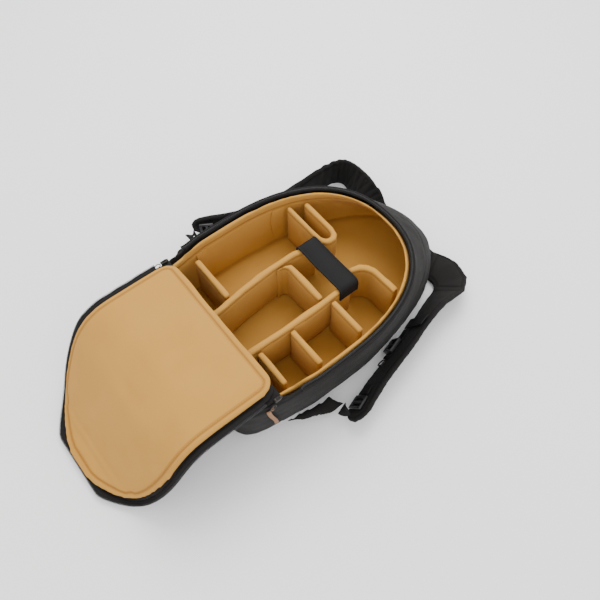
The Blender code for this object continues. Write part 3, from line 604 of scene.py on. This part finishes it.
@dataclass
class Pad:
    """A padded piece that is puffed up between its seams."""

    node: str
    name: str
    slot: Slot
    voxel: float
    slack: float
    cap: float
    seam: Field = nothing
    folds: Field = nothing
    seam_depth: float = 0.0010
    fill: float = 0.6
    piece: bpy.types.Object | None = None
    rest: list[Vector] = field(default_factory=list)

    def start(self, source: bpy.types.Object, simulate: bool) -> None:
        """Make the even mesh that is puffed up.

        Args:
            source: The fixed model's node.
            simulate: Whether it will be puffed up as cloth.
        """
        self.piece = as_piece(as_bmesh(source.data), self.name)
        remesh = self.piece.modifiers.new("even", "REMESH")
        remesh.mode = "VOXEL"
        remesh.voxel_size = self.voxel
        self.settle()
        shape = as_bmesh(self.piece.data)
        shape.normal_update()
        for vert in shape.verts:
            vert.co -= vert.normal * self.slack
        bmesh.ops.smooth_vert(
            shape, verts=shape.verts, factor=0.5, use_axis_x=True, use_axis_y=True, use_axis_z=True
        )
        shape.to_mesh(self.piece.data)
        shape.free()
        self.rest = [vert.co.copy() for vert in self.piece.data.vertices]
        if simulate:
            self.add_cloth()

    def add_cloth(self) -> None:
        """Hold the seams and let air pressure push the rest out."""
        held = self.piece.vertex_groups.new(name="held")
        for i, place in enumerate(self.rest):
            weight = self.seam(place)
            if weight > 0.35:
                held.add([i], min(1.0, weight), "REPLACE")
        cloth = self.piece.modifiers.new("puff", "CLOTH")
        settings = cloth.settings
        settings.quality = 4
        settings.mass = 0.25
        settings.tension_stiffness = 12.0
        settings.compression_stiffness = 6.0
        settings.shear_stiffness = 5.0
        settings.bending_stiffness = 0.4
        settings.use_pressure = True
        settings.uniform_pressure_force = 4.0
        settings.vertex_group_mass = "held"
        settings.effector_weights.gravity = 0.0
        cloth.collision_settings.use_collision = False
        cloth.point_cache.frame_start = 1
        cloth.point_cache.frame_end = 30

    def settle(self) -> None:
        """Fix the modifiers' result as the piece's mesh."""
        graph = bpy.context.evaluated_depsgraph_get()
        settled = bpy.data.meshes.new_from_object(self.piece.evaluated_get(graph))
        self.piece.modifiers.clear()
        old = self.piece.data
        self.piece.data = settled
        bpy.data.meshes.remove(old)

    def finish(self, wardrobe: Wardrobe) -> None:
        """Limit the puffing, press the seams in, add folds, refine and dress the piece."""
        self.settle()
        mesh = self.piece.data
        for vert, rest in zip(mesh.vertices, self.rest):
            moved = vert.co - rest
            far = moved.length
            if far > 0.0:
                vert.co = rest + moved * (self.cap * math.tanh(far / self.cap) / far)
        self.piece.vertex_groups.clear()
        divide = self.piece.modifiers.new("fine", "SUBSURF")
        divide.levels = 1
        divide.render_levels = 1
        self.settle()
        mesh = self.piece.data
        normals = [normal.vector.copy() for normal in mesh.vertex_normals]
        values = []
        for vert, normal in zip(mesh.vertices, normals):
            seam = self.seam(vert.co)
            values.append(seam)
            vert.co += normal * (self.folds(vert.co) - seam * self.seam_depth)
        # These seam weights also set the painted shade in the cloth's colour.
        stored = mesh.attributes.new("seam", "FLOAT", "POINT")
        stored.data.foreach_set("value", values)
        mesh.shade_smooth()
        wardrobe.dress(self.piece, self.slot)
        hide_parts(self.node)


def creases(scale: Vector, depth: float, seed: float) -> Field:
    """Soft folds whose size differs along the three axes.

    Args:
        scale: Folds for each metre along each axis.
        depth: How far they rise and fall.
        seed: Where in the pattern they are taken from.

    Returns:
        The field of heights.
    """

    def height(place: Vector) -> float:
        at = Vector((place.x * scale.x + seed, place.y * scale.y, place.z * scale.z))
        broad = noise.noise(at)
        fine = noise.noise(at * 2.3 + Vector((7.0, 3.0, 1.0)))
        return depth * (broad + 0.4 * fine)

    return height


class Shop:
    """Every padded piece, puffed up together in one short simulation."""

    def __init__(self, nodes: dict[str, bpy.types.Object], frames: int = 14) -> None:
        """Start with no pads.

        Args:
            nodes: The fixed model's nodes.
            frames: How long the cloth is simulated.
        """
        self.nodes = nodes
        self.frames = frames
        self.pads: dict[str, Pad] = {}

    def add(self, pad: Pad) -> Pad:
        """Take in one padded piece."""
        self.pads[pad.node] = pad
        return pad

    def run(self, wardrobe: Wardrobe) -> None:
        """Make, puff up and finish every pad."""
        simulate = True
        for pad in self.pads.values():
            pad.start(self.nodes[pad.node], simulate)
        if simulate:
            scene = bpy.context.scene
            for number in range(1, self.frames + 1):
                scene.frame_set(number)
        for pad in self.pads.values():
            pad.finish(wardrobe)
            LOG.info("%s: %d faces", pad.name, len(pad.piece.data.polygons))
        if simulate:
            bpy.context.scene.frame_set(1)

    def surface(self, node: str) -> Surface:
        """A finished pad's surface."""
        return Surface(self.pads[node].piece)


# Sub-assemblies


@dataclass
class Stitching:
    """The sizes of a row of stitches."""

    pitch: float = 0.0042
    length: float = 0.0030
    thickness: float = 0.0008


def stitch_places(
    surface: Surface,
    line: list[Vector],
    ways: list[Vector],
    reach: float,
) -> list[Matrix]:
    """Where stitches lie when a line is pressed onto a surface.

    Args:
        surface: What they are sewn into.
        line: The line, off the surface.
        ways: The direction to the surface at each point.
        reach: How far off the surface may be.

    Returns:
        One place for each point that meets the surface.
    """
    headings = tangents(line, False)
    found = []
    for place, way, heading in zip(line, ways, headings):
        hit = surface.drop(place - way * reach * 0.5, way, reach)
        if hit is not None:
            found.append(stood_at(hit[0], heading, hit[1]))
    return found


class Tub:
    """The bag's body: outer shell, lining, back panel, sill and the zipper round the opening."""

    def __init__(self, nodes: dict[str, bpy.types.Object], shop: Shop, wardrobe: Wardrobe) -> None:
        """Measure the model and register the padded pieces."""
        self.nodes = nodes
        self.shop = shop
        self.wardrobe = wardrobe
        self.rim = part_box("outer_shell")[1].z
        self.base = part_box("outer_shell")[0].z
        self.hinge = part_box("front_sill")[1].y
        self.top_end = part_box("outer_shell")[1].y
        self.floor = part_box("long_divider_far")[0].z
        self.rim_band = 0.015
        self.add_pads()

    def add_pads(self) -> None:
        """Register the shell, the lining, the back panel and the sill."""
        rim, base, floor, hinge = self.rim, self.base, self.floor, self.hinge

        def shell_seam(place: Vector) -> float:
            foot = ridge(place.z - (base + 0.010), 0.005)
            edge = ridge(place.z - (rim - 0.006), 0.004)
            panel = ridge(place.y - (hinge - 0.026) - 0.20 * (rim - place.z), 0.005)
            side = panel if abs(place.x) > 0.09 else 0.0
            top_panel = ridge(place.z - (base + 0.070), 0.004) if place.y > 0.02 else 0.0
            return max(foot, edge, side, top_panel)

        def lining_seam(place: Vector) -> float:
            band = ridge(place.z - (rim - self.rim_band), 0.004)
            foot = ridge(place.z - (floor + 0.004), 0.005)
            return max(band, foot)

        folds = creases(Vector((16.0, 11.0, 26.0)), 0.0022, 3.0)
        soft = creases(Vector((20.0, 14.0, 18.0)), 0.0009, 9.0)
        self.shop.add(
            Pad("outer_shell", "shell", Slot.NYLON, 0.0054, 0.0003, 0.0045, shell_seam, folds)
        )
        self.shop.add(
            Pad("padded_lining", "lining", Slot.LINING, 0.0062, 0.0020, 0.0016, lining_seam, soft)
        )
        self.shop.add(Pad("back_pad", "back_panel", Slot.MESH, 0.0085, 0.0010, 0.0020))
        self.shop.add(Pad("front_sill", "sill", Slot.NYLON, 0.0036, 0.0003, 0.0008))

    def centreline(self) -> list[Vector]:
        """The opening zipper's middle, from one end of the hinge to the other."""
        mesh = self.nodes["opening_zipper_teeth"].data
        low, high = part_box("opening_zipper_teeth")
        level = (low.z + high.z) / 2
        loop = section_loops(mesh, Vector((0.0, 0.0, level)), UP)[0]
        near = max(range(len(loop)), key=lambda i: loop[i].x - loop[i].y * 3.0)
        loop = loop[near:] + loop[:near]
        far = max(range(len(loop)), key=lambda i: -loop[i].x - loop[i].y * 3.0)
        one, other = loop[: far + 1], loop[far:] + [loop[0]]
        one = resample(one, 0.004, False)
        other = list(reversed(other))
        total = sum((b - a).length for a, b in zip(other, other[1:]))
        other = resample(other, total / (len(one) - 1), False)
        return [a.lerp(b, 0.5) for a, b in zip(one, other)]

    def build_zipper(self) -> None:
        """The tape with its welt, and the coil's teeth."""
        line = relax(self.centreline(), 3, False)
        tape_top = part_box("opening_zipper_tape")[1].z
        flat = [Vector((point.x, point.y, tape_top)) for point in line]
        ups = [UP] * len(flat)
        tape = as_piece(sweep(flat, ups, flat_section(0.0066, 0.0016), False), "opening_tape")
        self.wardrobe.dress(tape, Slot.WEBBING)
        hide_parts("opening_zipper_tape")
        welt = [point - self.inward(point) * 0.0036 for point in flat]
        cord = as_piece(sweep(welt, ups, round_section(0.0019), False), "opening_welt")
        self.wardrobe.dress(cord, Slot.NYLON)
        teeth_line = resample(flat, 0.0021, False)
        headings = tangents(teeth_line, False)
        places = []
        for place, heading in zip(teeth_line, headings):
            places.append(stood_at(place + UP * 0.0015, heading, UP))
        tooth = block((0.0011, 0.0036, 0.0018), 0.0003)
        teeth = row_of(tooth, places, "opening_teeth")
        self.wardrobe.dress(teeth, Slot.PLASTIC)
        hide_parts("opening_zipper_teeth")

    def inward(self, place: Vector) -> Vector:
        """The level direction from the rim towards the middle of the opening."""
        middle = Vector((0.0, max(min(place.y, 0.03), self.hinge), place.z))
        return (middle - place).normalized()

    def build_stitches(self) -> None:
        """The rows below the lining's rim and below the shell's rim."""
        rows = (
            # node, name, height below the rim, inside or outside, slot
            ("padded_lining", "lining_stitches", self.rim_band - 0.004, True, Slot.LINING),
            ("padded_lining", "lining_lower_stitches", self.rim_band + 0.004, True, Slot.LINING),
            ("outer_shell", "shell_stitches", 0.010, False, Slot.WEBBING),
        )
        for node, name, drop, inside, slot in rows:
            level = self.rim - drop
            loops = section_loops(self.nodes[node].data, Vector((0.0, 0.0, level)), UP)
            loop = loops[1] if inside and len(loops) > 1 else loops[0]
            line = resample(loop, Stitching.pitch, True)
            ways = []
            for place, heading in zip(line, tangents(line, True)):
                out = heading.cross(UP).normalized()
                if out.dot(self.inward(place)) > 0:
                    out = -out
                ways.append(out if inside else -out)
            places = stitch_places(self.shop.surface(node), line, ways, 0.016)
            stitch = thread(Stitching.length, Stitching.thickness)
            self.wardrobe.dress(row_of(stitch, places, name), slot)


class Dividers:
    """The padded dividers with their sewn top edges and end tabs."""

    names = (
        "long_divider_far",
        "long_divider_near",
        "cross_divider_far_low",
        "cross_divider_middle",
        "cross_divider_near_low",
        "cross_divider_near_mid",
        "cross_divider_near_high",
        "folded_divider",
        "bent_divider",
    )

    def __init__(self, nodes: dict[str, bpy.types.Object], shop: Shop, wardrobe: Wardrobe) -> None:
        """Register every divider as a padded piece."""
        self.nodes = nodes
        self.shop = shop
        self.wardrobe = wardrobe
        self.edge_roll = 0.0085
        for i, name in enumerate(self.names):
            low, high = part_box(name)
            folds = creases(Vector((24.0, 18.0, 20.0)), 0.0010, 2.0 + i)
            shop.add(
                Pad(
                    name,
                    name.replace("divider", "pad"),
                    Slot.LINING,
                    0.0040,
                    0.0009,
                    0.0026,
                    self.seam_field(low.z, high.z),
                    folds,
                    0.0009,
                    0.7,
                )
            )

    def seam_field(self, bottom: float, top: float) -> Field:
        """The seam under a divider's rolled top edge, and its held foot."""

        def seam(place: Vector) -> float:
            roll = ridge(place.z - (top - self.edge_roll), 0.0032)
            foot = ridge(place.z - bottom, 0.006)
            return max(roll, foot)

        return seam

    def build_stitches(self) -> None:
        """A row of stitches in the seam of every divider."""
        for name in self.names:
            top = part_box(name)[1].z
            level = Vector((0.0, 0.0, top - self.edge_roll))
            line = resample(section_loops(self.nodes[name].data, level, UP)[0], Stitching.pitch, True)
            headings = tangents(line, True)
            middle = sum(line, Vector()) / len(line)
            outs = [heading.cross(UP).normalized() for heading in headings]
            turn = sum(out.dot(place - middle) for out, place in zip(outs, line))
            sign = -1.0 if turn > 0 else 1.0
            ways = [out * sign for out in outs]
            places = stitch_places(self.shop.surface(name), line, ways, 0.012)
            stitch = thread(Stitching.length, Stitching.thickness)
            row = row_of(stitch, places, name.replace("divider", "stitches"))
            self.wardrobe.dress(row, Slot.LINING)

    def build_tabs(self) -> None:
        """The hook-and-loop tabs by which the dividers' ends hold to what they meet."""
        tabs = (
            # name, host, divider, which end, towards which end of the bag
            ("tab_far_low", "padded_lining", "cross_divider_far_low", -1, 1),
            ("tab_middle_near", "long_divider_near", "cross_divider_middle", 1, -1),
            ("tab_near_low", "long_divider_near", "cross_divider_near_low", -1, 1),
            ("tab_near_mid", "long_divider_near", "cross_divider_near_mid", -1, 1),
            ("tab_near_high", "padded_lining", "cross_divider_near_high", 1, -1),
            ("tab_folded", "padded_lining", "folded_divider", -1, -1),
            ("tab_bent", "padded_lining", "bent_divider", 1, -1),
        )
        for name, host, divider, end, along in tabs:
            low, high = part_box(divider)
            edge = high.y if along > 0 else low.y
            if divider == "bent_divider":
                edge = high.y - 0.013
            start = Vector((high.x - 0.02 if end > 0 else low.x + 0.02, edge, high.z - 0.042))
            self.build_tab(name, self.shop.surface(host), start, end, along)

    def build_tab(self, name: str, host: Surface, start: Vector, end: int, along: int) -> None:
        """One thin tab pressed onto a wall.

        Args:
            name: The piece's name.
            host: The wall that it holds to.
            start: A point beside the wall, at the divider's face.
            end: Which way across the bag the wall is.
            along: Which way along the bag the tab runs.
        """
        shape = bmesh.new()
        bmesh.ops.create_grid(shape, x_segments=9, y_segments=15, size=1.0)
        way = ACROSS * end
        missed = []
        for vert in shape.verts:
            u, v = vert.co.x, vert.co.y
            corner = max(0.0, u) ** 4 * v * v * 0.20
            run = 0.013 * (1.0 + u * (1.0 - corner)) - 0.001
            rise = 0.036 * v * (1.0 - 0.12 * max(0.0, u) ** 4)
            place = start + Vector((0.0, along * run, rise))
            hit = host.drop(place, way, 0.06)
            if hit is None:
                missed.append(vert)
            else:
                vert.co = hit[0] + hit[1] * 0.0006
        bmesh.ops.delete(shape, geom=missed, context="VERTS")
        if not shape.faces:
            shape.free()
            return
        bmesh.ops.recalc_face_normals(shape, faces=shape.faces)
        bmesh.ops.solidify(shape, geom=shape.faces[:], thickness=0.0016)
        self.wardrobe.dress(as_piece(shape, name), Slot.LINING)


class Flap:
    """The front flap: its padded inside, its shell and its half of the zipper."""

    def __init__(self, nodes: dict[str, bpy.types.Object], shop: Shop, wardrobe: Wardrobe) -> None:
        """Measure the flap's edge and register its padded pieces."""
        self.nodes = nodes
        self.shop = shop
        self.wardrobe = wardrobe
        self.seam_inset = 0.0125
        self.edge = self.edge_line("flap_pad")
        count = len(self.edge)
        self.tree = KDTree(count)
        for i, point in enumerate(self.edge):
            self.tree.insert(point, i)
        self.tree.balance()
        folds = creases(Vector((13.0, 10.0, 10.0)), 0.0016, 5.0)
        shop.add(
            Pad(
                "flap_pad",
                "flap_inside",
                Slot.LINING,
                0.0052,
                0.0010,
                0.0040,
                self.seam,
                folds,
                0.0014,
                0.6,
            )
        )
        shop.add(Pad("flap_shell", "flap_outside", Slot.NYLON, 0.0046, 0.0002, 0.0012))

    def edge_line(self, node: str) -> list[Vector]:
        """The outer edge of one of the flap's sheets, as a closed line."""
        mesh = self.nodes[node].data
        low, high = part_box(node)
        near: list[Vector] = []
        far: list[Vector] = []
        count = 70
        for i in range(count + 1):
            share = 0.5 - 0.5 * math.cos(math.pi * i / count)
            y = high.y - 0.0006 - (high.y - low.y - 0.0012) * share
            loops = section_loops(mesh, Vector((0.0, y, 0.0)), Vector((0.0, 1.0, 0.0)))
            if loops:
                cut = [point for loop in loops for point in loop]
                near.append(max(cut, key=lambda point: point.x))
                far.append(min(cut, key=lambda point: point.x))
        return resample(near + far[::-1], 0.004, True)

    def seam(self, place: Vector) -> float:
        """The sewn line that follows the flap's edge."""
        _, _, distance = self.tree.find(place)
        return ridge(distance - self.seam_inset, 0.0034)

    def inset_line(self, distance: float) -> list[Vector]:
        """A line at a distance in from the flap's edge."""
        middle = sum(self.edge, Vector()) / len(self.edge)
        found = []
        for point, heading in zip(self.edge, tangents(self.edge, True)):
            inward = UP.cross(heading).normalized()
            if inward.dot(middle - point) < 0:
                inward = -inward
            found.append(point + inward * distance)
        return relax(found, 6, True)

    def build_stitches(self) -> None:
        """The stitches in the seam, and a second row at the border's outer edge."""
        surface = self.shop.surface("flap_pad")
        for name, distance in (("flap_stitches", self.seam_inset), ("flap_border_stitches", 0.0055)):
            line = resample(self.inset_line(distance), Stitching.pitch, True)
            line = [point + UP * 0.012 for point in line]
            places = stitch_places(surface, line, [-UP] * len(line), 0.060)
            stitch = thread(Stitching.length, Stitching.thickness)
            self.wardrobe.dress(row_of(stitch, places, name), Slot.LINING)

    def build_zipper(self) -> None:
        """The tape that stands out round the flap, and its teeth."""
        line = relax(self.edge_line("flap_zipper_tape"), 2, True)
        low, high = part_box("flap_zipper_tape")
        kept = [point for point in line if point.y < high.y - 0.012]
        start = max(range(len(kept)), key=lambda i: (kept[i] - kept[i - 1]).length)
        kept = kept[start:] + kept[:start]
        middle = sum(kept, Vector()) / len(kept)
        headings = tangents(kept, False)
        ups = []
        inner = []
        for point, heading in zip(kept, headings):
            inward = UP.cross(heading).normalized()
            if inward.dot(middle - point) < 0:
                inward = -inward
            up = heading.cross(inward).normalized()
            ups.append(up if up.z > 0 else -up)
            inner.append(point + inward * 0.0045)
        tape = as_piece(sweep(inner, ups, flat_section(0.0098, 0.0014), False), "flap_tape")
        self.wardrobe.dress(tape, Slot.WEBBING)
        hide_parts("flap_zipper_tape")
        rim = [point + (point - middle).normalized() * 0.0002 for point in kept]
        places = []
        fine = resample(rim, 0.0021, False)
        for place, heading in zip(fine, tangents(fine, False)):
            places.append(stood_at(place + UP * 0.0006, heading, UP))
        teeth = row_of(block((0.0011, 0.0034, 0.0020), 0.0003), places, "flap_teeth")
        self.wardrobe.dress(teeth, Slot.PLASTIC)


class Harness:
    """The shoulder straps, their fittings and webbing, and the cloth wings."""

    def __init__(self, nodes: dict[str, bpy.types.Object], shop: Shop, wardrobe: Wardrobe) -> None:
        """Register the straps and wings as padded pieces."""
        self.nodes = nodes
        self.shop = shop
        self.wardrobe = wardrobe
        for end, seed in (("far", 4.0), ("near", 11.0)):
            strap = f"shoulder_strap_{end}"
            folds = self.strap_folds(end, seed)
            seam = self.edge_field(strap, 0.0055)
            shop.add(
                Pad(strap, f"strap_{end}", Slot.NYLON, 0.0040, 0.0008, 0.0030, seam, folds, 0.0012)
            )
            wing = f"anchor_wing_{end}"
            crumple = creases(Vector((30.0, 42.0, 20.0)), 0.0022, seed + 1.0)
            shop.add(
                Pad(wing, f"wing_{end}", Slot.NYLON, 0.0022, 0.0002, 0.0016, nothing, crumple)
            )

    def edge_field(self, node: str, inset: float) -> Field:
        """The sewn line beside a strap's two long edges.

        Args:
            node: The strap.
            inset: How far the line lies from the edge.

        Returns:
            The field, 1 on the line.
        """
        shape = as_bmesh(self.nodes[node].data)
        shape.normal_update()
        corners = []
        for edge in shape.edges:
            if len(edge.link_faces) == 2 and edge.calc_face_angle(0.0) > math.radians(24):
                steps = max(int(edge.calc_length() / 0.003), 1)
                a, b = edge.verts[0].co, edge.verts[1].co
                corners += [a.lerp(b, i / steps) for i in range(steps + 1)]
        shape.free()
        tree = KDTree(len(corners))
        for i, point in enumerate(corners):
            tree.insert(point, i)
        tree.balance()

        def seam(place: Vector) -> float:
            _, _, distance = tree.find(place)
            return ridge(distance - inset, 0.0030)

        return seam

    def strap_folds(self, end: str, seed: float) -> Field:
        """The strap's slack folds, with pleats where the far strap turns up from its root."""
        soft = creases(Vector((20.0, 20.0, 14.0)), 0.0014, seed)
        if end == "near":
            return soft

        def pleated(place: Vector) -> float:
            reach = ridge(place.y - 0.205, 0.055) * ridge(place.x + 0.175, 0.075)
            wave = math.sin(place.x * 520.0 + place.y * 260.0)
            lower = smooth_step((place.z - 0.012) / 0.02)
            return soft(place) + 0.0016 * wave * reach * lower

        return pleated

    def refined(self, node: str, name: str, slot: Slot, ease: float, cuts: int) -> bpy.types.Object:
        """A fitting's or tape's own shape with eased edges.

        Args:
            node: The fixed model's node.
            name: The piece's name.
            slot: Its material slot.
            ease: How wide the eased edges are.
            cuts: How often its faces are divided.

        Returns:
            The finished piece.
        """
        shape = as_bmesh(self.nodes[node].data)
        bmesh.ops.dissolve_limit(
            shape, angle_limit=math.radians(1.0), verts=shape.verts, edges=shape.edges
        )
        sharp = [edge for edge in shape.edges if edge.calc_face_angle(0.0) > math.radians(30)]
        bmesh.ops.bevel(
            shape,
            geom=sharp,
            offset=ease,
            segments=2,
            profile=0.5,
            affect="EDGES",
            material=-1,
            clamp_overlap=True,
        )
        if cuts:
            bmesh.ops.subdivide_edges(shape, edges=shape.edges, cuts=cuts, use_grid_fill=True)
        piece = as_piece(shape, name)
        self.wardrobe.dress(piece, slot)
        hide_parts(node)
        return piece

    def build_fittings(self) -> None:
        """The adjusters, the tabs that hold them, the webbing and the chest strap's parts."""
        for end in ("far", "near"):
            self.refined(f"ladder_lock_{end}", f"adjuster_{end}", Slot.PLASTIC, 0.0008, 0)
            self.refined(f"lock_tab_{end}", f"adjuster_tab_{end}", Slot.WEBBING, 0.0004, 1)
            self.refined(f"adjuster_webbing_{end}", f"webbing_{end}", Slot.WEBBING, 0.0004, 2)
        self.refined("chest_strap_band", "chest_band", Slot.WEBBING, 0.0005, 1)
        self.refined("chest_webbing", "chest_tape", Slot.WEBBING, 0.0004, 1)
        self.refined("chest_buckle", "chest_clip", Slot.PLASTIC, 0.0010, 0)

    def build_ring(self) -> None:
        """The chest strap's ring, made smoother."""
        ring = as_piece(as_bmesh(self.nodes["chest_ring"].data), "chest_loop")
        smooth = ring.modifiers.new("round", "SUBSURF")
        smooth.levels = 2
        smooth.render_levels = 2
        self.wardrobe.dress(ring, Slot.METAL)
        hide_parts("chest_ring")


class Trim:
    """The cradle strap, the zipper sliders and their pulls."""

    def __init__(self, nodes: dict[str, bpy.types.Object], harness: Harness) -> None:
        """Keep what the trim is made from."""
        self.nodes = nodes
        self.harness = harness
        self.wardrobe = harness.wardrobe

    def build_cradle(self) -> None:
        """The wide strap over the long dividers, with its bound edges."""
        mesh = self.nodes["cradle_strap"].data
        low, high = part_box("cradle_strap")
        middle = Vector((0.0, (low.y + high.y) / 2, 0.0))
        loop = section_loops(mesh, middle, Vector((0.0, 1.0, 0.0)))[0]
        outer = self.over_line(loop, low, high)
        width = high.y - low.y
        ups = self.outward(outer)
        strap = as_piece(sweep(outer, ups, flat_section(width, 0.0028), False), "cradle_band")
        self.wardrobe.dress(strap, Slot.WEBBING)
        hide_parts("cradle_strap")
        for side, name in ((-1.0, "cradle_binding_low"), (1.0, "cradle_binding_high")):
            line = [point + Vector((0.0, side * (width / 2 - 0.0015), 0.0)) for point in outer]
            cord = as_piece(sweep(line, ups, round_section(0.0021), False), name)
            self.wardrobe.dress(cord, Slot.WEBBING)

    def over_line(self, loop: list[Vector], low: Vector, high: Vector) -> list[Vector]:
        """The strap's way up one divider, across the gap and down the other."""
        thick = 0.0014
        foot = low.z + 0.0004
        top = high.z - 0.0012
        y = loop[0].y
        corners = [
            Vector((low.x + thick, y, foot)),
            Vector((low.x + thick, y, top - 0.004)),
            Vector((low.x + 0.006, y, top)),
            Vector((low.x * 0.55 + high.x * 0.45, y, top - 0.0022)),
            Vector((low.x * 0.25 + high.x * 0.75, y, top - 0.0008)),
            Vector((high.x - 0.006, y, top)),
            Vector((high.x - thick, y, top - 0.004)),
            Vector((high.x - thick, y, foot)),
        ]
        return relax(resample(corners, 0.003, False), 3, False)

    def outward(self, line: list[Vector]) -> list[Vector]:
        """The direction away from the dividers along the strap."""
        along = Vector((0.0, 1.0, 0.0))
        return [heading.cross(along).normalized() for heading in tangents(line, False)]

    def build_sliders(self) -> None:
        """Each slider with its crown, its ring and the leather strip with stitched edges."""
        for end, side in (("far", -1.0), ("near", 1.0)):
            self.harness.refined(f"zipper_slider_{end}", f"slider_{end}", Slot.METAL, 0.0005, 0)
            low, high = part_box(f"zipper_slider_{end}")
            middle = (low + high) / 2
            crown_line = [
                Vector((middle.x, middle.y - 0.0045, high.z - 0.0006)),
                Vector((middle.x, middle.y - 0.0030, high.z + 0.0014)),
                Vector((middle.x, middle.y + 0.0030, high.z + 0.0014)),
                Vector((middle.x, middle.y + 0.0045, high.z - 0.0006)),
            ]
            line = relax(resample(crown_line, 0.001, False), 2, False)
            crown = sweep(line, [ACROSS] * len(line), flat_section(0.0016, 0.0024), False)
            self.wardrobe.dress(as_piece(crown, f"slider_crown_{end}"), Slot.METAL)
            ring = as_piece(as_bmesh(self.nodes[f"pull_ring_{end}"].data), f"pull_loop_{end}")
            smooth = ring.modifiers.new("round", "SUBSURF")
            smooth.levels = 2
            smooth.render_levels = 2
            self.wardrobe.dress(ring, Slot.METAL)
            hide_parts(f"pull_ring_{end}")
            strip = self.harness.refined(
                f"pull_strip_{end}", f"pull_leather_{end}", Slot.LEATHER, 0.0006, 1
            )
            self.build_pull_stitches(end, side, strip)

    def build_pull_stitches(self, end: str, side: float, strip: bpy.types.Object) -> None:
        """Two rows of thread down a leather strip, and the loop at its top."""
        low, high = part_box(f"pull_strip_{end}")
        surface = Surface(strip)
        steps = int((high.z - low.z - 0.008) / 0.0036)
        way = ACROSS * -side
        outside = high.x if side > 0 else low.x
        places = []
        for i in range(steps):
            z = low.z + 0.004 + 0.0036 * i
            for y in (low.y + 0.0015, low.y + 0.0045, low.y + 0.0075, low.y + 0.0105, low.y + 0.0135):
                start = Vector((outside + side * 0.01, y, z))
                hit = surface.drop(start, way, 0.03)
                edge = surface.drop(start + Vector((0.0, 0.0016, 0.0)), way, 0.03)
                back = surface.drop(start - Vector((0.0, 0.0016, 0.0)), way, 0.03)
                if hit is not None and (edge is None) != (back is None):
                    places.append(stood_at(hit[0], UP, hit[1]))
        if places:
            row = row_of(thread(0.0024, 0.0007), places, f"pull_stitches_{end}")
            self.wardrobe.dress(row, Slot.LEATHER)
        top = Vector(((low.x + high.x) / 2, 0.0, high.z))
        ring_low, ring_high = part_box(f"pull_ring_{end}")
        top.y = (ring_low.y + ring_high.y) / 2
        joint = [
            Vector((top.x, top.y, ring_low.z + 0.002)),
            Vector((top.x + side * 0.0012, top.y - 0.001, ring_low.z - 0.002)),
            Vector((top.x, top.y - 0.001, high.z - 0.003)),
        ]
        line = relax(resample(joint, 0.0012, False), 2, False)
        loop = sweep(line, [ACROSS * side] * len(line), flat_section(0.0050, 0.0022), False)
        self.wardrobe.dress(as_piece(loop, f"pull_neck_{end}"), Slot.LEATHER)


class Studio:
    """The pale floor, the soft light and the camera."""

    place = Vector((0.4462, -0.3824, 1.0189))
    target = Vector((-0.0228, -0.0080, 0.0))

    def build(self) -> None:
        """Set up everything that is not part of the bag."""
        self.build_floor()
        self.build_lights()
        camera = bpy.data.objects.new("camera", bpy.data.cameras.new("camera"))
        bpy.context.scene.collection.objects.link(camera)
        camera.data.lens = 38.72
        camera.data.sensor_width = 36.0
        camera.location = self.place
        camera.rotation_mode = "QUATERNION"
        camera.rotation_quaternion = (self.target - self.place).to_track_quat("-Z", "Y")
        bpy.context.scene.camera = camera

    def build_floor(self) -> None:
        """A wide pale floor."""
        shape = bmesh.new()
        bmesh.ops.create_grid(shape, x_segments=2, y_segments=2, size=6.0)
        floor = as_piece(shape, "floor")
        graph = Graph("pale_floor")
        tone = graph.noise(graph.object_coords(), 2.0, 2.0)
        pale = graph.mix(tone, (0.93, 0.93, 0.93, 1.0), (0.90, 0.90, 0.90, 1.0))
        graph.feed(graph.shader.inputs["Base Color"], pale)
        graph.feed(graph.shader.inputs["Roughness"], 0.85)
        floor.data.materials.append(graph.material)

    def build_lights(self) -> None:
        """An even white surround, one large soft light and a weaker one."""
        world = bpy.data.worlds.new("surround")
        world.use_nodes = True
        back = world.node_tree.nodes["Background"]
        back.inputs["Color"].default_value = (1.0, 1.0, 1.0, 1.0)
        back.inputs["Strength"].default_value = 1.5
        bpy.context.scene.world = world
        lamps = (
            # name, place, size, watts
            ("key_light", Vector((-0.7, 0.6, 1.7)), 1.3, 36.0),
            ("fill_light", Vector((1.3, -0.9, 1.1)), 1.6, 9.0),
        )
        for name, place, size, watts in lamps:
            data = bpy.data.lights.new(name, "AREA")
            data.size = size
            data.energy = watts
            lamp = bpy.data.objects.new(name, data)
            bpy.context.scene.collection.objects.link(lamp)
            lamp.location = place
            lamp.rotation_mode = "QUATERNION"
            lamp.rotation_quaternion = (-place).to_track_quat("-Z", "Y")


def main() -> None:
    """Build the bag's looks in order."""
    logging.basicConfig(level=logging.INFO, format="%(asctime)s %(message)s")
    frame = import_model()
    nodes = frame["nodes"]
    wardrobe = Wardrobe()
    shop = Shop(nodes)
    tub = Tub(nodes, shop, wardrobe)
    dividers = Dividers(nodes, shop, wardrobe)
    flap = Flap(nodes, shop, wardrobe)
    harness = Harness(nodes, shop, wardrobe)
    shop.run(wardrobe)
    LOG.info("padded pieces done")
    tub.build_zipper()
    tub.build_stitches()
    LOG.info("tub done")
    dividers.build_stitches()
    dividers.build_tabs()
    LOG.info("dividers done")
    flap.build_stitches()
    flap.build_zipper()
    LOG.info("flap done")
    harness.build_fittings()
    harness.build_ring()
    LOG.info("harness done")
    trim = Trim(nodes, harness)
    trim.build_cradle()
    trim.build_sliders()
    LOG.info("trim done")
    Studio().build()


if __name__ == "__main__":
    main()
